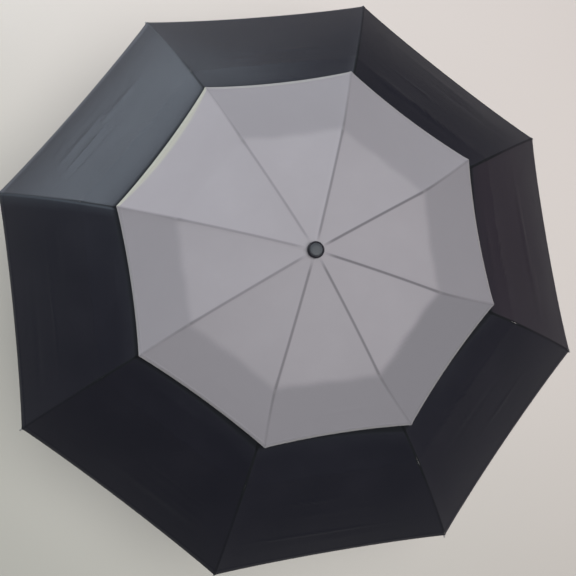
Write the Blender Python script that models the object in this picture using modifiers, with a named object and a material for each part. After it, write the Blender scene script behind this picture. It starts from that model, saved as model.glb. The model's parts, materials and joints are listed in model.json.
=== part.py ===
"""Three-fold umbrella with a vented double canopy, standing open on its axis.

Metres, +Z up. The origin is the middle of the hand grip, on the shaft's axis.
Each rib is a chain of three curved bars that follow one circular arc when the umbrella is open.
"""
import math

import bmesh
import bpy
from mathutils import Matrix, Vector

# Overall form
RIB_COUNT = 8
RIB_REACH = 0.560            # shaft axis to the end of a rib
HINGE_RADIUS = 0.0105        # shaft axis to the hinges in the crown and the runner
CROWN_SLOPE = math.radians(9.0)      # slope of a rib below level at the crown
TIP_SLOPE = math.radians(44.5)       # slope of a rib below level at its tip
INNER_KNUCKLE_RADIUS = 0.2125        # shaft axis to the joint of a top rib and a main rib
OUTER_KNUCKLE_RADIUS = 0.3808        # shaft axis to the joint of a main rib and an outer rib

# Folded state
TOP_RIB_FOLDED = math.radians(3.0)   # angle from straight down
MAIN_RIB_FOLDED = math.radians(179.5)
OUTER_RIB_FOLDED = math.radians(2.0)

# Rib bars
BAR_THICKNESS = 0.0016
BAR_HALF_HEIGHT = 0.0013
KNUCKLE_RADIUS = 0.0020
BAR_END_RADIUS = 0.0014      # the plain outer end of a rib
LANE_PITCH = 0.0020          # the bars of one rib lie side by side
PIN_RADIUS = 0.0008
PIN_HOLE_RADIUS = 0.0011
PIN_PROUD = 0.0005
TIP_BALL_RADIUS = 0.0024
STRETCHER_LENGTH = 0.1180
STRETCHER_PIVOT_REACH = 0.1050       # along the top rib's arc from the crown
RING_WIRE_RADIUS = 0.0006

# Shaft
UPPER_TUBE_RADIUS = 0.0052
TUBE_WALL = 0.0005
TUBE_CLEARANCE = 0.0003
TUBE_TRAVEL = 0.1250
TUBE_ENGAGEMENT = 0.0300
TUBE_STUB = 0.0120           # what stays out of the tube below when the shaft is pushed in
LOWER_TUBE_REACH = 0.2050    # handle top to the lower tube's upper end

# Crown
CROWN_RADIUS = 0.0128
CROWN_FLANGE_TOP = 0.0026
CROWN_FLANGE_DROP = 0.0032
CROWN_HUB_RADIUS = 0.0076
CROWN_HUB_DROP = 0.0080
CROWN_BORE_TOP = 0.0015
NOTCH_SIDE_CLEARANCE = 0.0004
NOTCH_FLOOR_RADIUS = 0.0080

# Runner
RUNNER_RADIUS = 0.0130
RUNNER_FLANGE_HALF = 0.0030
RUNNER_SLEEVE_RADIUS = 0.0106
RUNNER_SKIRT = 0.0360        # hinge plane to the runner's lower end
RUNNER_GRIP_RADIUS = 0.0122
RUNNER_GRIP_HEIGHT = 0.0070
RUNNER_CHAMFER = 0.0010
RUNNER_BORE_CLEARANCE = 0.00035

# Release button
BUTTON_WIDTH = 0.0060
BUTTON_HEIGHT = 0.0100
BUTTON_DROP = 0.0170         # hinge plane to the button's middle
BUTTON_TRAVEL = 0.0015
BUTTON_PROUD = 0.0019
BUTTON_ROUND = 0.0006
BUTTON_AZIMUTH = math.radians(22.5)

# Handle
GRIP_LENGTH = 0.0800
GRIP_RADIUS = 0.0165
GRIP_WAIST_RADIUS = 0.0150
GRIP_TOP_RADIUS = 0.0160
GRIP_ROUND = 0.0025
GRIP_BORE_DEPTH = 0.0520
COLLAR_HEIGHT = 0.0060
COLLAR_RADIUS = 0.0125
COLLAR_CHAMFER = 0.0012
END_CAP_RADIUS = 0.0125
END_CAP_DEPTH = 0.0030
END_CAP_LIP = 0.0008
END_CAP_CHAMFER = 0.0004
FOLDED_CLEARANCE = 0.0060    # runner to collar when everything is shut

# Finial
FINIAL_RADIUS = 0.0130
FINIAL_HEIGHT = 0.0062
FINIAL_SHOULDER = 0.0030
FINIAL_DISC_RADIUS = 0.0098
FINIAL_STEM_RADIUS = 0.0022
FINIAL_STEM_DEPTH = 0.0036
WASHER_RADIUS = 0.0112
WASHER_THICKNESS = 0.0009
CROWN_TOP_RADIUS = 0.0075

# Canopies
FABRIC_THICKNESS = 0.0006
SAME_ANGLE = 0.000001        # a mesh angle this close under a rib counts as on it
WELD = 0.00001
LOWER_FABRIC_LIFT = 0.0036   # rib centre line to the underside of the lower canopy
UPPER_FABRIC_LIFT = 0.0050
UPPER_CANOPY_RADIUS = 0.3110 # shaft axis to the corners of the upper canopy
UPPER_RIM_RISE = 0.0110      # extra height of the upper rim over the rib line
CROWN_RISE = 0.0020
CROWN_RISE_REACH = 0.0450
CANOPY_HOLE_RADIUS = 0.0040
FABRIC_TIP_MARGIN = 0.0060   # end of rib to the corner of the lower canopy
UPPER_SCALLOP_SHARE = 0.014
LOWER_SCALLOP_SHARE = 0.005
VENT_SCALLOP_SHARE = 0.006
GORE_DIP_SHARE = 0.012
RIM_RISE_POWER = 1.2         # how the upper rim leaves the rib line
SCALLOP_POWER = 4            # the hem draws in, the cloth further up hardly

GAP = 0.0003
CUT_OVERRUN = 0.0020

# How finely round things are faceted
TURN_STEPS = 32
RING_STEPS = 40
WIRE_SIDES = 6
KNUCKLE_STEPS = 6
HOLE_STEPS = 8
GORE_STEPS = 4
UPPER_RINGS = 8
LOWER_RINGS = 7

COLOURS = {
    "steel": ((0.62, 0.63, 0.65), 0.30, 1.0),
    "rib": ((0.10, 0.10, 0.11), 0.45, 0.6),
    "black_plastic": ((0.03, 0.03, 0.035), 0.45, 0.0),
    "grip_rubber": ((0.025, 0.025, 0.028), 0.70, 0.0),
    "cap_grey": ((0.07, 0.075, 0.085), 0.40, 0.0),
    "grey_fabric": ((0.34, 0.34, 0.38), 0.80, 0.0),
    "black_fabric": ((0.022, 0.020, 0.026), 0.75, 0.0),
}

# What follows from the driving sizes
BEND_RADIUS = (RIB_REACH - HINGE_RADIUS) / (math.sin(TIP_SLOPE) - math.sin(CROWN_SLOPE))
MIDDLE_TUBE_RADIUS = UPPER_TUBE_RADIUS + TUBE_CLEARANCE + TUBE_WALL
LOWER_TUBE_RADIUS = MIDDLE_TUBE_RADIUS + TUBE_CLEARANCE + TUBE_WALL
HANDLE_TOP = GRIP_LENGTH / 2


def rib_slope(radius):
    """Slope of the rib arc below level, at a distance from the shaft's axis."""
    return math.asin(math.sin(CROWN_SLOPE) + (radius - HINGE_RADIUS) / BEND_RADIUS)


def rib_point(slope, lift=0.0):
    """Radius and height over the crown's hinges, lifted square to the rib arc."""
    radius = HINGE_RADIUS + BEND_RADIUS * (math.sin(slope) - math.sin(CROWN_SLOPE))
    height = BEND_RADIUS * (math.cos(slope) - math.cos(CROWN_SLOPE))
    return Vector((radius + lift * math.sin(slope), height + lift * math.cos(slope)))


def turned_point(point, pivot, angle):
    """A point of the rib's plane after its bar has swung up by an angle about a pivot."""
    return pivot + Matrix.Rotation(angle, 2) @ (point - pivot)


def bar_angle(start, end):
    """Direction of a bar in the rib's plane, counted from straight down."""
    step = end - start
    return math.atan2(step.x, -step.y)


CROWN_HINGE = rib_point(CROWN_SLOPE)
INNER_SLOPE = rib_slope(INNER_KNUCKLE_RADIUS)
OUTER_SLOPE = rib_slope(OUTER_KNUCKLE_RADIUS)
PIVOT_SLOPE = CROWN_SLOPE + STRETCHER_PIVOT_REACH / BEND_RADIUS
INNER_KNUCKLE = rib_point(INNER_SLOPE)
OUTER_KNUCKLE = rib_point(OUTER_SLOPE)
STRETCHER_PIVOT = rib_point(PIVOT_SLOPE)
RIB_END = rib_point(TIP_SLOPE)


def runner_hinge(pivot):
    """Where the stretcher's lower end lies on the hinge line for a place of its upper end."""
    rise = math.sqrt(STRETCHER_LENGTH ** 2 - (pivot.x - HINGE_RADIUS) ** 2)
    return Vector((HINGE_RADIUS, pivot.y - rise))


RUNNER_OPEN = runner_hinge(STRETCHER_PIVOT)
TOP_RIB_SWING = TOP_RIB_FOLDED - bar_angle(CROWN_HINGE, INNER_KNUCKLE)
RUNNER_FOLDED = runner_hinge(turned_point(STRETCHER_PIVOT, CROWN_HINGE, TOP_RIB_SWING))
FOLDED_LENGTH = (-RUNNER_FOLDED.y + RUNNER_SKIRT + FOLDED_CLEARANCE + COLLAR_HEIGHT)
CROWN_Z = HANDLE_TOP + FOLDED_LENGTH + 2 * TUBE_TRAVEL
RUNNER_Z = CROWN_Z + RUNNER_OPEN.y
LOWER_TUBE_TOP = HANDLE_TOP + LOWER_TUBE_REACH
MIDDLE_TUBE_TOP = LOWER_TUBE_TOP + TUBE_TRAVEL + TUBE_STUB
GRIP_BORE_FLOOR = HANDLE_TOP - GRIP_BORE_DEPTH


def start_scene():
    """Empty the scene and make one collection for the parts and one for the cutters."""
    for thing in list(bpy.data.objects):
        bpy.data.objects.remove(thing, do_unlink=True)
    made = []
    for name in ("umbrella", "cutters"):
        group = bpy.data.collections.new(name)
        bpy.context.scene.collection.children.link(group)
        made.append(group)
    return made


PARTS, CUTTERS = start_scene()


def paint(thing, colour_name):
    """Give a part a material of its own from the colour table."""
    colour, roughness, metallic = COLOURS[colour_name]
    material = bpy.data.materials.new(thing.name)
    material.use_nodes = True
    shader = material.node_tree.nodes["Principled BSDF"]
    shader.inputs["Base Color"].default_value = (*colour, 1.0)
    shader.inputs["Roughness"].default_value = roughness
    shader.inputs["Metallic"].default_value = metallic
    thing.data.materials.clear()
    thing.data.materials.append(material)


def link_part(name, mesh, colour_name, location=(0, 0, 0), turn=0.0, parent=None):
    """Put a mesh into the scene as one named part."""
    thing = bpy.data.objects.new(name, mesh)
    thing.location = location
    thing.rotation_euler = (0, 0, turn)
    thing.parent = parent
    PARTS.objects.link(thing)
    if not mesh.materials:
        paint(thing, colour_name)
    return thing


def make_cutter(name, mesh):
    """Put a mesh into the scene as a hidden tool for Boolean cuts."""
    thing = bpy.data.objects.new(name, mesh)
    thing.hide_render = True
    thing.display_type = "WIRE"
    CUTTERS.objects.link(thing)
    return thing


def mesh_from(build, name):
    """Run a bmesh recipe and return its mesh."""
    shape = bmesh.new()
    build(shape)
    mesh = bpy.data.meshes.new(name)
    shape.to_mesh(mesh)
    shape.free()
    return mesh


def turned(name, profile, colour_name, parent=None, closed=False, steps=TURN_STEPS):
    """A turned piece: the profile's (radius, height) points run down the outer side."""
    count = len(profile)
    edges = [(i, i + 1) for i in range(count - 1)]
    if closed:
        edges.append((count - 1, 0))
    mesh = bpy.data.meshes.new(name)
    mesh.from_pydata([(radius, 0.0, height) for radius, height in profile], edges, [])
    thing = link_part(name, mesh, colour_name, parent=parent)
    screw = thing.modifiers.new("turn", "SCREW")
    screw.steps = steps
    screw.render_steps = steps
    screw.use_merge_vertices = True
    screw.merge_threshold = WELD
    screw.use_normal_calculate = False
    screw.use_smooth_shade = False
    return thing


def cut(thing, cutter):
    """Take a cutter away from a part."""
    step = thing.modifiers.new("cut", "BOOLEAN")
    step.operation = "DIFFERENCE"
    step.object = cutter


def box_cutter(name, centre, size, turns=(0.0,)):
    """Boxes of one size, each centred at a place that is turned about the shaft's axis."""
    def build(shape):
        for turn in turns:
            place = Matrix.Rotation(turn, 4, "Z") @ Matrix.Translation(centre) @ Matrix.Diagonal((*size, 1.0))
            bmesh.ops.create_cube(shape, size=1.0, matrix=place)
    return make_cutter(name, mesh_from(build, name))


def ring_profile(ring_radius, wire_radius):
    """The section of a ring of round wire, as a closed outline that runs down outside."""
    turns = [2 * math.pi * i / WIRE_SIDES for i in range(WIRE_SIDES)]
    return [(ring_radius + wire_radius * math.cos(turn), -wire_radius * math.sin(turn)) for turn in turns]


def rib_turns():
    """The azimuth of each rib."""
    return [2 * math.pi * i / RIB_COUNT for i in range(RIB_COUNT)]


def group_empty(name, location):
    """An empty on a joint's line, for the pieces of one moving body."""
    empty = bpy.data.objects.new(name, None)
    empty.location = location
    PARTS.objects.link(empty)
    return empty


# Handle

def make_handle():
    """Grip with its end cap, the collar on top and the lower tube that stands in the bore."""
    bore = LOWER_TUBE_RADIUS + GAP
    recess = END_CAP_RADIUS + GAP
    bottom = -HANDLE_TOP
    floor = bottom + END_CAP_DEPTH
    waist = 0.0
    turned("handle_grip", [
        (0.0, GRIP_BORE_FLOOR), (bore, GRIP_BORE_FLOOR), (bore, HANDLE_TOP),
        (GRIP_TOP_RADIUS - GRIP_ROUND, HANDLE_TOP), (GRIP_TOP_RADIUS, HANDLE_TOP - GRIP_ROUND),
        ((GRIP_TOP_RADIUS + GRIP_WAIST_RADIUS) / 2, (HANDLE_TOP + waist) / 2),
        (GRIP_WAIST_RADIUS, waist),
        ((GRIP_RADIUS + GRIP_WAIST_RADIUS) / 2, (bottom + waist) / 2),
        (GRIP_RADIUS, bottom + GRIP_ROUND), (GRIP_RADIUS - GRIP_ROUND, bottom),
        (recess, bottom), (recess, floor), (0.0, floor),
    ], "grip_rubber")
    end = bottom - END_CAP_LIP
    turned("handle_end_cap", [
        (0.0, floor - GAP), (END_CAP_RADIUS, floor - GAP),
        (END_CAP_RADIUS, end + END_CAP_CHAMFER), (END_CAP_RADIUS - END_CAP_CHAMFER, end), (0.0, end),
    ], "black_plastic")
    foot = HANDLE_TOP + GAP
    turned("handle_collar", [
        (bore, HANDLE_TOP + COLLAR_HEIGHT), (COLLAR_RADIUS - COLLAR_CHAMFER, HANDLE_TOP + COLLAR_HEIGHT),
        (COLLAR_RADIUS, HANDLE_TOP + COLLAR_HEIGHT - COLLAR_CHAMFER), (COLLAR_RADIUS, foot), (bore, foot),
    ], "steel", closed=True)
    make_tube("shaft_lower_tube", LOWER_TUBE_RADIUS, GRIP_BORE_FLOOR + GAP, LOWER_TUBE_TOP)


def make_tube(name, radius, bottom, top, parent=None):
    """An open steel tube between two heights."""
    lift = parent.location.z if parent else 0.0
    inner = radius - TUBE_WALL
    turned(name, [(inner, top - lift), (radius, top - lift), (radius, bottom - lift),
                  (inner, bottom - lift)], "steel", parent=parent, closed=True)


def make_shaft():
    """The two tubes that slide: the middle one in the lower one, the upper one in the middle one."""
    middle = group_empty("middle_tube_slide", (0, 0, LOWER_TUBE_TOP))
    make_tube("shaft_middle_tube", MIDDLE_TUBE_RADIUS, LOWER_TUBE_TOP - TUBE_ENGAGEMENT,
              MIDDLE_TUBE_TOP, middle)
    upper = group_empty("upper_tube_slide", (0, 0, MIDDLE_TUBE_TOP))
    make_tube("shaft_upper_tube", UPPER_TUBE_RADIUS, MIDDLE_TUBE_TOP - TUBE_ENGAGEMENT,
              CROWN_Z + CROWN_BORE_TOP - GAP, upper)


# Canopy lines

def upper_seam(radius):
    """Height of the upper canopy's underside over a rib, counted from the crown's hinges."""
    outside = max(radius, HINGE_RADIUS)
    arc = rib_point(rib_slope(outside)).y + (outside - radius) * math.tan(CROWN_SLOPE)
    near = max(0.0, 1.0 - radius / CROWN_RISE_REACH)
    past = max(0.0, radius - INNER_KNUCKLE_RADIUS) / (UPPER_CANOPY_RADIUS - INNER_KNUCKLE_RADIUS)
    return arc + UPPER_FABRIC_LIFT + CROWN_RISE * near ** 2 + UPPER_RIM_RISE * past ** RIM_RISE_POWER


def lower_seam(radius):
    """Height of the lower canopy's underside over a rib, counted from the crown's hinges."""
    slope = rib_slope(radius)
    return rib_point(slope).y + LOWER_FABRIC_LIFT / math.cos(slope)


def gore_point(radius, turn, seam, scallop):
    """A point of a canopy: straight chords between ribs, drawn in and down at mid-gore."""
    pitch = 2 * math.pi / RIB_COUNT
    first = math.floor(turn / pitch + SAME_ANGLE) * pitch
    share = (turn - first) / pitch
    bow = 4 * share * (1 - share)
    reach = radius * (1 - scallop * bow)
    start = Vector((math.cos(first), math.sin(first)))
    end = Vector((math.cos(first + pitch), math.sin(first + pitch)))
    flat = reach * start.lerp(end, share)
    return Vector((flat.x, flat.y, seam(reach) - GORE_DIP_SHARE * radius * bow))


def make_canopy(name, inner, outer, rings, seam, scallops, colour_name, parent):
    """A canopy of eight gores between two radii, as a thin closed shell."""
    around = RIB_COUNT * GORE_STEPS

    def build(shape):
        bmesh.ops.create_grid(shape, x_segments=rings, y_segments=around, size=1)
        for vert in shape.verts:
            out = (vert.co.x + 1) / 2
            turn = (vert.co.y + 1) * math.pi
            scallop = scallops[0] + (scallops[1] - scallops[0]) * out ** SCALLOP_POWER
            vert.co = gore_point(inner + (outer - inner) * out, turn, seam, scallop)
        bmesh.ops.remove_doubles(shape, verts=shape.verts, dist=WELD)

    mesh = mesh_from(build, name)
    thing = link_part(name, mesh, colour_name, parent=parent)
    wall = thing.modifiers.new("cloth", "SOLIDIFY")
    wall.thickness = FABRIC_THICKNESS
    wall.offset = 1.0
    return thing


# Crown, finial and canopies

def make_crown():
    """Crown, its ring wire, the washer, the finial and both canopies, all on the upper tube."""
    crown = group_empty("crown_body", (0, 0, CROWN_Z))
    bore = UPPER_TUBE_RADIUS + GAP
    stem_hole = FINIAL_STEM_RADIUS + GAP
    top = upper_seam(CROWN_TOP_RADIUS) - 2 * GAP
    canopy_top = upper_seam(CANOPY_HOLE_RADIUS) + FABRIC_THICKNESS
    washer_foot = canopy_top + GAP
    cap_foot = washer_foot + WASHER_THICKNESS + GAP
    stem_end = top - FINIAL_STEM_DEPTH
    body = turned("crown", [
        (0.0, stem_end - GAP), (stem_hole, stem_end - GAP), (stem_hole, top), (CROWN_TOP_RADIUS, top),
        (CROWN_TOP_RADIUS, CROWN_FLANGE_TOP), (CROWN_RADIUS, CROWN_FLANGE_TOP),
        (CROWN_RADIUS, -CROWN_FLANGE_DROP), (CROWN_HUB_RADIUS, -CROWN_FLANGE_DROP),
        (CROWN_HUB_RADIUS, -CROWN_HUB_DROP), (bore, -CROWN_HUB_DROP), (bore, CROWN_BORE_TOP),
        (0.0, CROWN_BORE_TOP),
    ], "black_plastic", parent=crown)
    cut_slots(body, CROWN_RADIUS, 0.0, -CROWN_FLANGE_DROP - CUT_OVERRUN, CROWN_FLANGE_TOP + CUT_OVERRUN)
    cut_groove(body, HINGE_RADIUS)
    turned("crown_ring_wire", ring_profile(HINGE_RADIUS, RING_WIRE_RADIUS), "steel",
           parent=crown, closed=True, steps=RING_STEPS)
    turned("canopy_washer", [
        (stem_hole, washer_foot + WASHER_THICKNESS), (WASHER_RADIUS, washer_foot + WASHER_THICKNESS),
        (WASHER_RADIUS, washer_foot), (stem_hole, washer_foot),
    ], "black_plastic", parent=crown, closed=True)
    cap_top = cap_foot + FINIAL_HEIGHT
    turned("finial_cap", [
        (0.0, cap_top), (FINIAL_DISC_RADIUS, cap_top - (FINIAL_HEIGHT - FINIAL_SHOULDER) / 4),
        (FINIAL_DISC_RADIUS + (FINIAL_RADIUS - FINIAL_DISC_RADIUS) / 2, cap_foot + FINIAL_SHOULDER),
        (FINIAL_RADIUS, cap_foot + FINIAL_SHOULDER / 2), (FINIAL_RADIUS, cap_foot),
        (FINIAL_STEM_RADIUS, cap_foot), (FINIAL_STEM_RADIUS, stem_end), (0.0, stem_end),
    ], "cap_grey", parent=crown)
    make_canopy("upper_canopy", CANOPY_HOLE_RADIUS, UPPER_CANOPY_RADIUS, UPPER_RINGS, upper_seam,
                (0.0, UPPER_SCALLOP_SHARE), "grey_fabric", crown)
    make_canopy("lower_canopy", INNER_KNUCKLE_RADIUS, RIB_REACH - FABRIC_TIP_MARGIN, LOWER_RINGS,
                lower_seam, (VENT_SCALLOP_SHARE, LOWER_SCALLOP_SHARE), "black_fabric", crown)


def cut_slots(body, rim_radius, lane, bottom, top):
    """Cut the slots that hold the ends of the bars, open at the rim."""
    length = rim_radius + CUT_OVERRUN - NOTCH_FLOOR_RADIUS
    centre = (NOTCH_FLOOR_RADIUS + length / 2, lane, (bottom + top) / 2)
    size = (length, BAR_THICKNESS + 2 * NOTCH_SIDE_CLEARANCE, top - bottom)
    slots = box_cutter(body.name + "_slots", centre, size, rib_turns())
    slots.parent = body.parent
    cut(body, slots)


def cut_groove(body, ring_radius):
    """Cut the groove of a ring wire, wider than the wire by the usual gap."""
    tool = turned(body.name + "_groove", ring_profile(ring_radius, RING_WIRE_RADIUS + GAP), "steel",
                  parent=body.parent, closed=True, steps=RING_STEPS)
    PARTS.objects.unlink(tool)
    CUTTERS.objects.link(tool)
    tool.hide_render = True
    tool.display_type = "WIRE"
    cut(body, tool)


# Runner and its button

def make_runner():
    """The sleeve that slides on the shaft, its ring wire and its release button."""
    place = group_empty("runner_body", (0, 0, RUNNER_Z))
    bore = LOWER_TUBE_RADIUS + RUNNER_BORE_CLEARANCE
    grip_top = RUNNER_GRIP_HEIGHT - RUNNER_SKIRT
    runner = turned("runner", [
        (bore, RUNNER_FLANGE_HALF), (RUNNER_RADIUS, RUNNER_FLANGE_HALF),
        (RUNNER_RADIUS, -RUNNER_FLANGE_HALF), (RUNNER_SLEEVE_RADIUS, -RUNNER_FLANGE_HALF - RUNNER_CHAMFER),
        (RUNNER_SLEEVE_RADIUS, grip_top), (RUNNER_GRIP_RADIUS, grip_top - RUNNER_CHAMFER),
        (RUNNER_GRIP_RADIUS, RUNNER_CHAMFER - RUNNER_SKIRT),
        (RUNNER_GRIP_RADIUS - RUNNER_CHAMFER, -RUNNER_SKIRT), (bore, -RUNNER_SKIRT),
    ], "black_plastic", parent=place, closed=True)
    wire_ring = math.hypot(HINGE_RADIUS, LANE_PITCH)
    cut_slots(runner, RUNNER_RADIUS, LANE_PITCH, -RUNNER_FLANGE_HALF - RUNNER_CHAMFER - CUT_OVERRUN,
              RUNNER_FLANGE_HALF + CUT_OVERRUN)
    cut_groove(runner, wire_ring)
    turned("runner_ring_wire", ring_profile(wire_ring, RING_WIRE_RADIUS), "steel",
           parent=place, closed=True, steps=RING_STEPS)
    make_button(runner, place, bore)


def make_button(runner, parent, bore):
    """The button that slides inwards through a window in the runner's sleeve."""
    inner = bore + BUTTON_TRAVEL
    outer = RUNNER_SLEEVE_RADIUS + BUTTON_PROUD
    size = (RUNNER_SLEEVE_RADIUS + CUT_OVERRUN, BUTTON_WIDTH + 2 * GAP, BUTTON_HEIGHT + 2 * GAP)
    window = box_cutter("button_window", (size[0] / 2, 0, -BUTTON_DROP), size, (BUTTON_AZIMUTH,))
    window.parent = parent
    cut(runner, window)

    def build(shape):
        place = Matrix.Diagonal((outer - inner, BUTTON_WIDTH, BUTTON_HEIGHT, 1.0))
        bmesh.ops.create_cube(shape, size=1.0, matrix=place)

    middle = (inner + outer) / 2
    location = (middle * math.cos(BUTTON_AZIMUTH), middle * math.sin(BUTTON_AZIMUTH), -BUTTON_DROP)
    button = link_part("release_button", mesh_from(build, "release_button"), "cap_grey",
                       location=location, turn=BUTTON_AZIMUTH, parent=parent)
    rounding = button.modifiers.new("edges", "BEVEL")
    rounding.width = BUTTON_ROUND
    rounding.segments = 2


# Rib bars

def arc_line(start_slope, end_slope, steps):
    """Centre line of a bar on the rib arc, from its hinge, with its direction at each point."""
    origin = rib_point(start_slope)
    slopes = [start_slope + (end_slope - start_slope) * i / steps for i in range(steps + 1)]
    return [(rib_point(slope) - origin, Vector((math.cos(slope), -math.sin(slope)))) for slope in slopes]


def circle_points(centre, radius, start, end, steps, along):
    """Points on a round from one angle to another, counted from a direction."""
    across = Vector((-along.y, along.x))
    angles = [start + (end - start) * i / steps for i in range(steps + 1)]
    return [centre + radius * (math.cos(angle) * along + math.sin(angle) * across) for angle in angles]


def bar_outline(line, start_radius, end_radius):
    """A bar with a round knuckle at each end, as one closed outline."""
    half = BAR_HALF_HEIGHT
    first, first_way = line[0]
    last, last_way = line[-1]
    start_lead = math.asin(half / start_radius)
    end_lead = math.asin(half / end_radius)
    points = circle_points(first, start_radius, start_lead, 2 * math.pi - start_lead,
                           KNUCKLE_STEPS, first_way)
    for place, way in line[1:-1]:
        points.append(place - half * Vector((-way.y, way.x)))
    points += circle_points(last, end_radius, end_lead - math.pi, math.pi - end_lead,
                            KNUCKLE_STEPS, last_way)
    for place, way in reversed(line[1:-1]):
        points.append(place + half * Vector((-way.y, way.x)))
    return points


def flat_bar(name, outline, holes):
    """A flat plate of a bar's thickness that stands in the rib's plane, as a welded mesh."""
    flat = bpy.data.curves.new(name, "CURVE")
    flat.dimensions = "2D"
    flat.fill_mode = "BOTH"
    flat.extrude = BAR_THICKNESS / 2
    last = 2 * math.pi * (HOLE_STEPS - 1) / HOLE_STEPS
    rounds = [circle_points(centre, PIN_HOLE_RADIUS, 0.0, last, HOLE_STEPS - 1, Vector((1, 0)))
              for centre in holes]
    for loop in [outline] + rounds:
        spline = flat.splines.new("POLY")
        spline.points.add(len(loop) - 1)
        for point, place in zip(spline.points, loop):
            point.co = (place.x, place.y, 0.0, 1.0)
        spline.use_cyclic_u = True
    guide = bpy.data.objects.new(name, flat)
    CUTTERS.objects.link(guide)
    bpy.context.view_layer.update()
    mesh = bpy.data.meshes.new_from_object(guide.evaluated_get(bpy.context.evaluated_depsgraph_get()))
    bpy.data.objects.remove(guide)
    shape = bmesh.new()
    shape.from_mesh(mesh)
    bmesh.ops.remove_doubles(shape, verts=shape.verts, dist=WELD)
    bmesh.ops.transform(shape, matrix=Matrix.Rotation(math.pi / 2, 4, "X"), verts=shape.verts)
    shape.to_mesh(mesh)
    shape.free()
    mesh.name = name
    return mesh


def join_shapes(name, mesh, extras):
    """Unite a mesh with other closed meshes and return the result."""
    base = make_cutter(name + "_base", mesh)
    for number, extra in enumerate(extras):
        tool = make_cutter(f"{name}_extra_{number + 1}", extra)
        step = base.modifiers.new("join", "BOOLEAN")
        step.operation = "UNION"
        step.object = tool
    bpy.context.view_layer.update()
    joined = bpy.data.meshes.new_from_object(base.evaluated_get(bpy.context.evaluated_depsgraph_get()))
    joined.name = name
    bpy.data.objects.remove(base)
    return joined


def pin_mesh(name, place, from_lane, to_lane):
    """A round pin across the lanes at a place of the rib's plane."""
    length = abs(to_lane - from_lane)
    centre = Vector((place.x, (from_lane + to_lane) / 2, place.y))

    def build(shape):
        turn = Matrix.Translation(centre) @ Matrix.Rotation(math.pi / 2, 4, "X")
        bmesh.ops.create_cone(shape, cap_ends=True, segments=8, radius1=PIN_RADIUS,
                              radius2=PIN_RADIUS, depth=length, matrix=turn)

    return mesh_from(build, name)


def ball_mesh(name, place, lane):
    """The small ball on the end of a rib."""
    def build(shape):
        bmesh.ops.create_uvsphere(shape, u_segments=8, v_segments=6, radius=TIP_BALL_RADIUS,
                                  matrix=Matrix.Translation((place.x, lane, place.y)))
    return mesh_from(build, name)


def shift_lane(mesh, lane):
    """Move a bar sideways into its lane."""
    mesh.transform(Matrix.Translation((0, lane, 0)))
    return mesh


def make_bars():
    """The four bar shapes of a rib, each counted from the hinge that it swings on."""
    zero = Vector((0, 0))
    top_line = arc_line(CROWN_SLOPE, INNER_SLOPE, 4)
    top = flat_bar("top_rib", bar_outline(top_line, KNUCKLE_RADIUS, KNUCKLE_RADIUS),
                   [zero, top_line[-1][0]])
    main_line = arc_line(INNER_SLOPE, OUTER_SLOPE, 4)
    main = shift_lane(flat_bar("main_rib", bar_outline(main_line, KNUCKLE_RADIUS, KNUCKLE_RADIUS), []),
                      -LANE_PITCH)
    pin_end = BAR_THICKNESS / 2 + PIN_PROUD
    pins = [pin_mesh(f"main_pin_{i + 1}", place, -LANE_PITCH, pin_end)
            for i, place in enumerate((zero, main_line[-1][0]))]
    main = join_shapes("main_rib", main, pins)
    outer_line = arc_line(OUTER_SLOPE, TIP_SLOPE, 5)
    outer = flat_bar("outer_rib", bar_outline(outer_line, KNUCKLE_RADIUS, BAR_END_RADIUS), [zero])
    outer = join_shapes("outer_rib", outer, [ball_mesh("tip_ball", outer_line[-1][0], 0.0)])
    reach = STRETCHER_PIVOT - RUNNER_OPEN
    way = reach.normalized()
    strut_line = [(zero, way), (reach, way)]
    strut = shift_lane(flat_bar("stretcher", bar_outline(strut_line, KNUCKLE_RADIUS, KNUCKLE_RADIUS), [zero]),
                       LANE_PITCH)
    return [("top_rib", top, CROWN_HINGE), ("main_rib", main, INNER_KNUCKLE),
            ("outer_rib", outer, OUTER_KNUCKLE), ("stretcher", strut, RUNNER_OPEN)]


def make_ribs():
    """Eight of each bar, with its origin on its hinge."""
    for name, mesh, hinge in make_bars():
        for number, turn in enumerate(rib_turns()):
            location = (hinge.x * math.cos(turn), hinge.x * math.sin(turn), CROWN_Z + hinge.y)
            link_part(f"{name}_{number + 1}", mesh, "rib", location=location, turn=turn)


make_handle()
make_shaft()
make_crown()
make_runner()
make_ribs()
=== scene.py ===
# %% [markdown]
# # A vented umbrella, seen from above
#
# The umbrella's bars, tubes and crown come ready made from the packed model, and this file never
# moves them. It makes what a plain solid can't show: the thin cloth with its seams, hems and folds,
# the finish of every surface, and the room that the umbrella stands in.

# %% The packed model
import json
import math

import bpy
import numpy as np
from mathutils import Matrix, Vector


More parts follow.
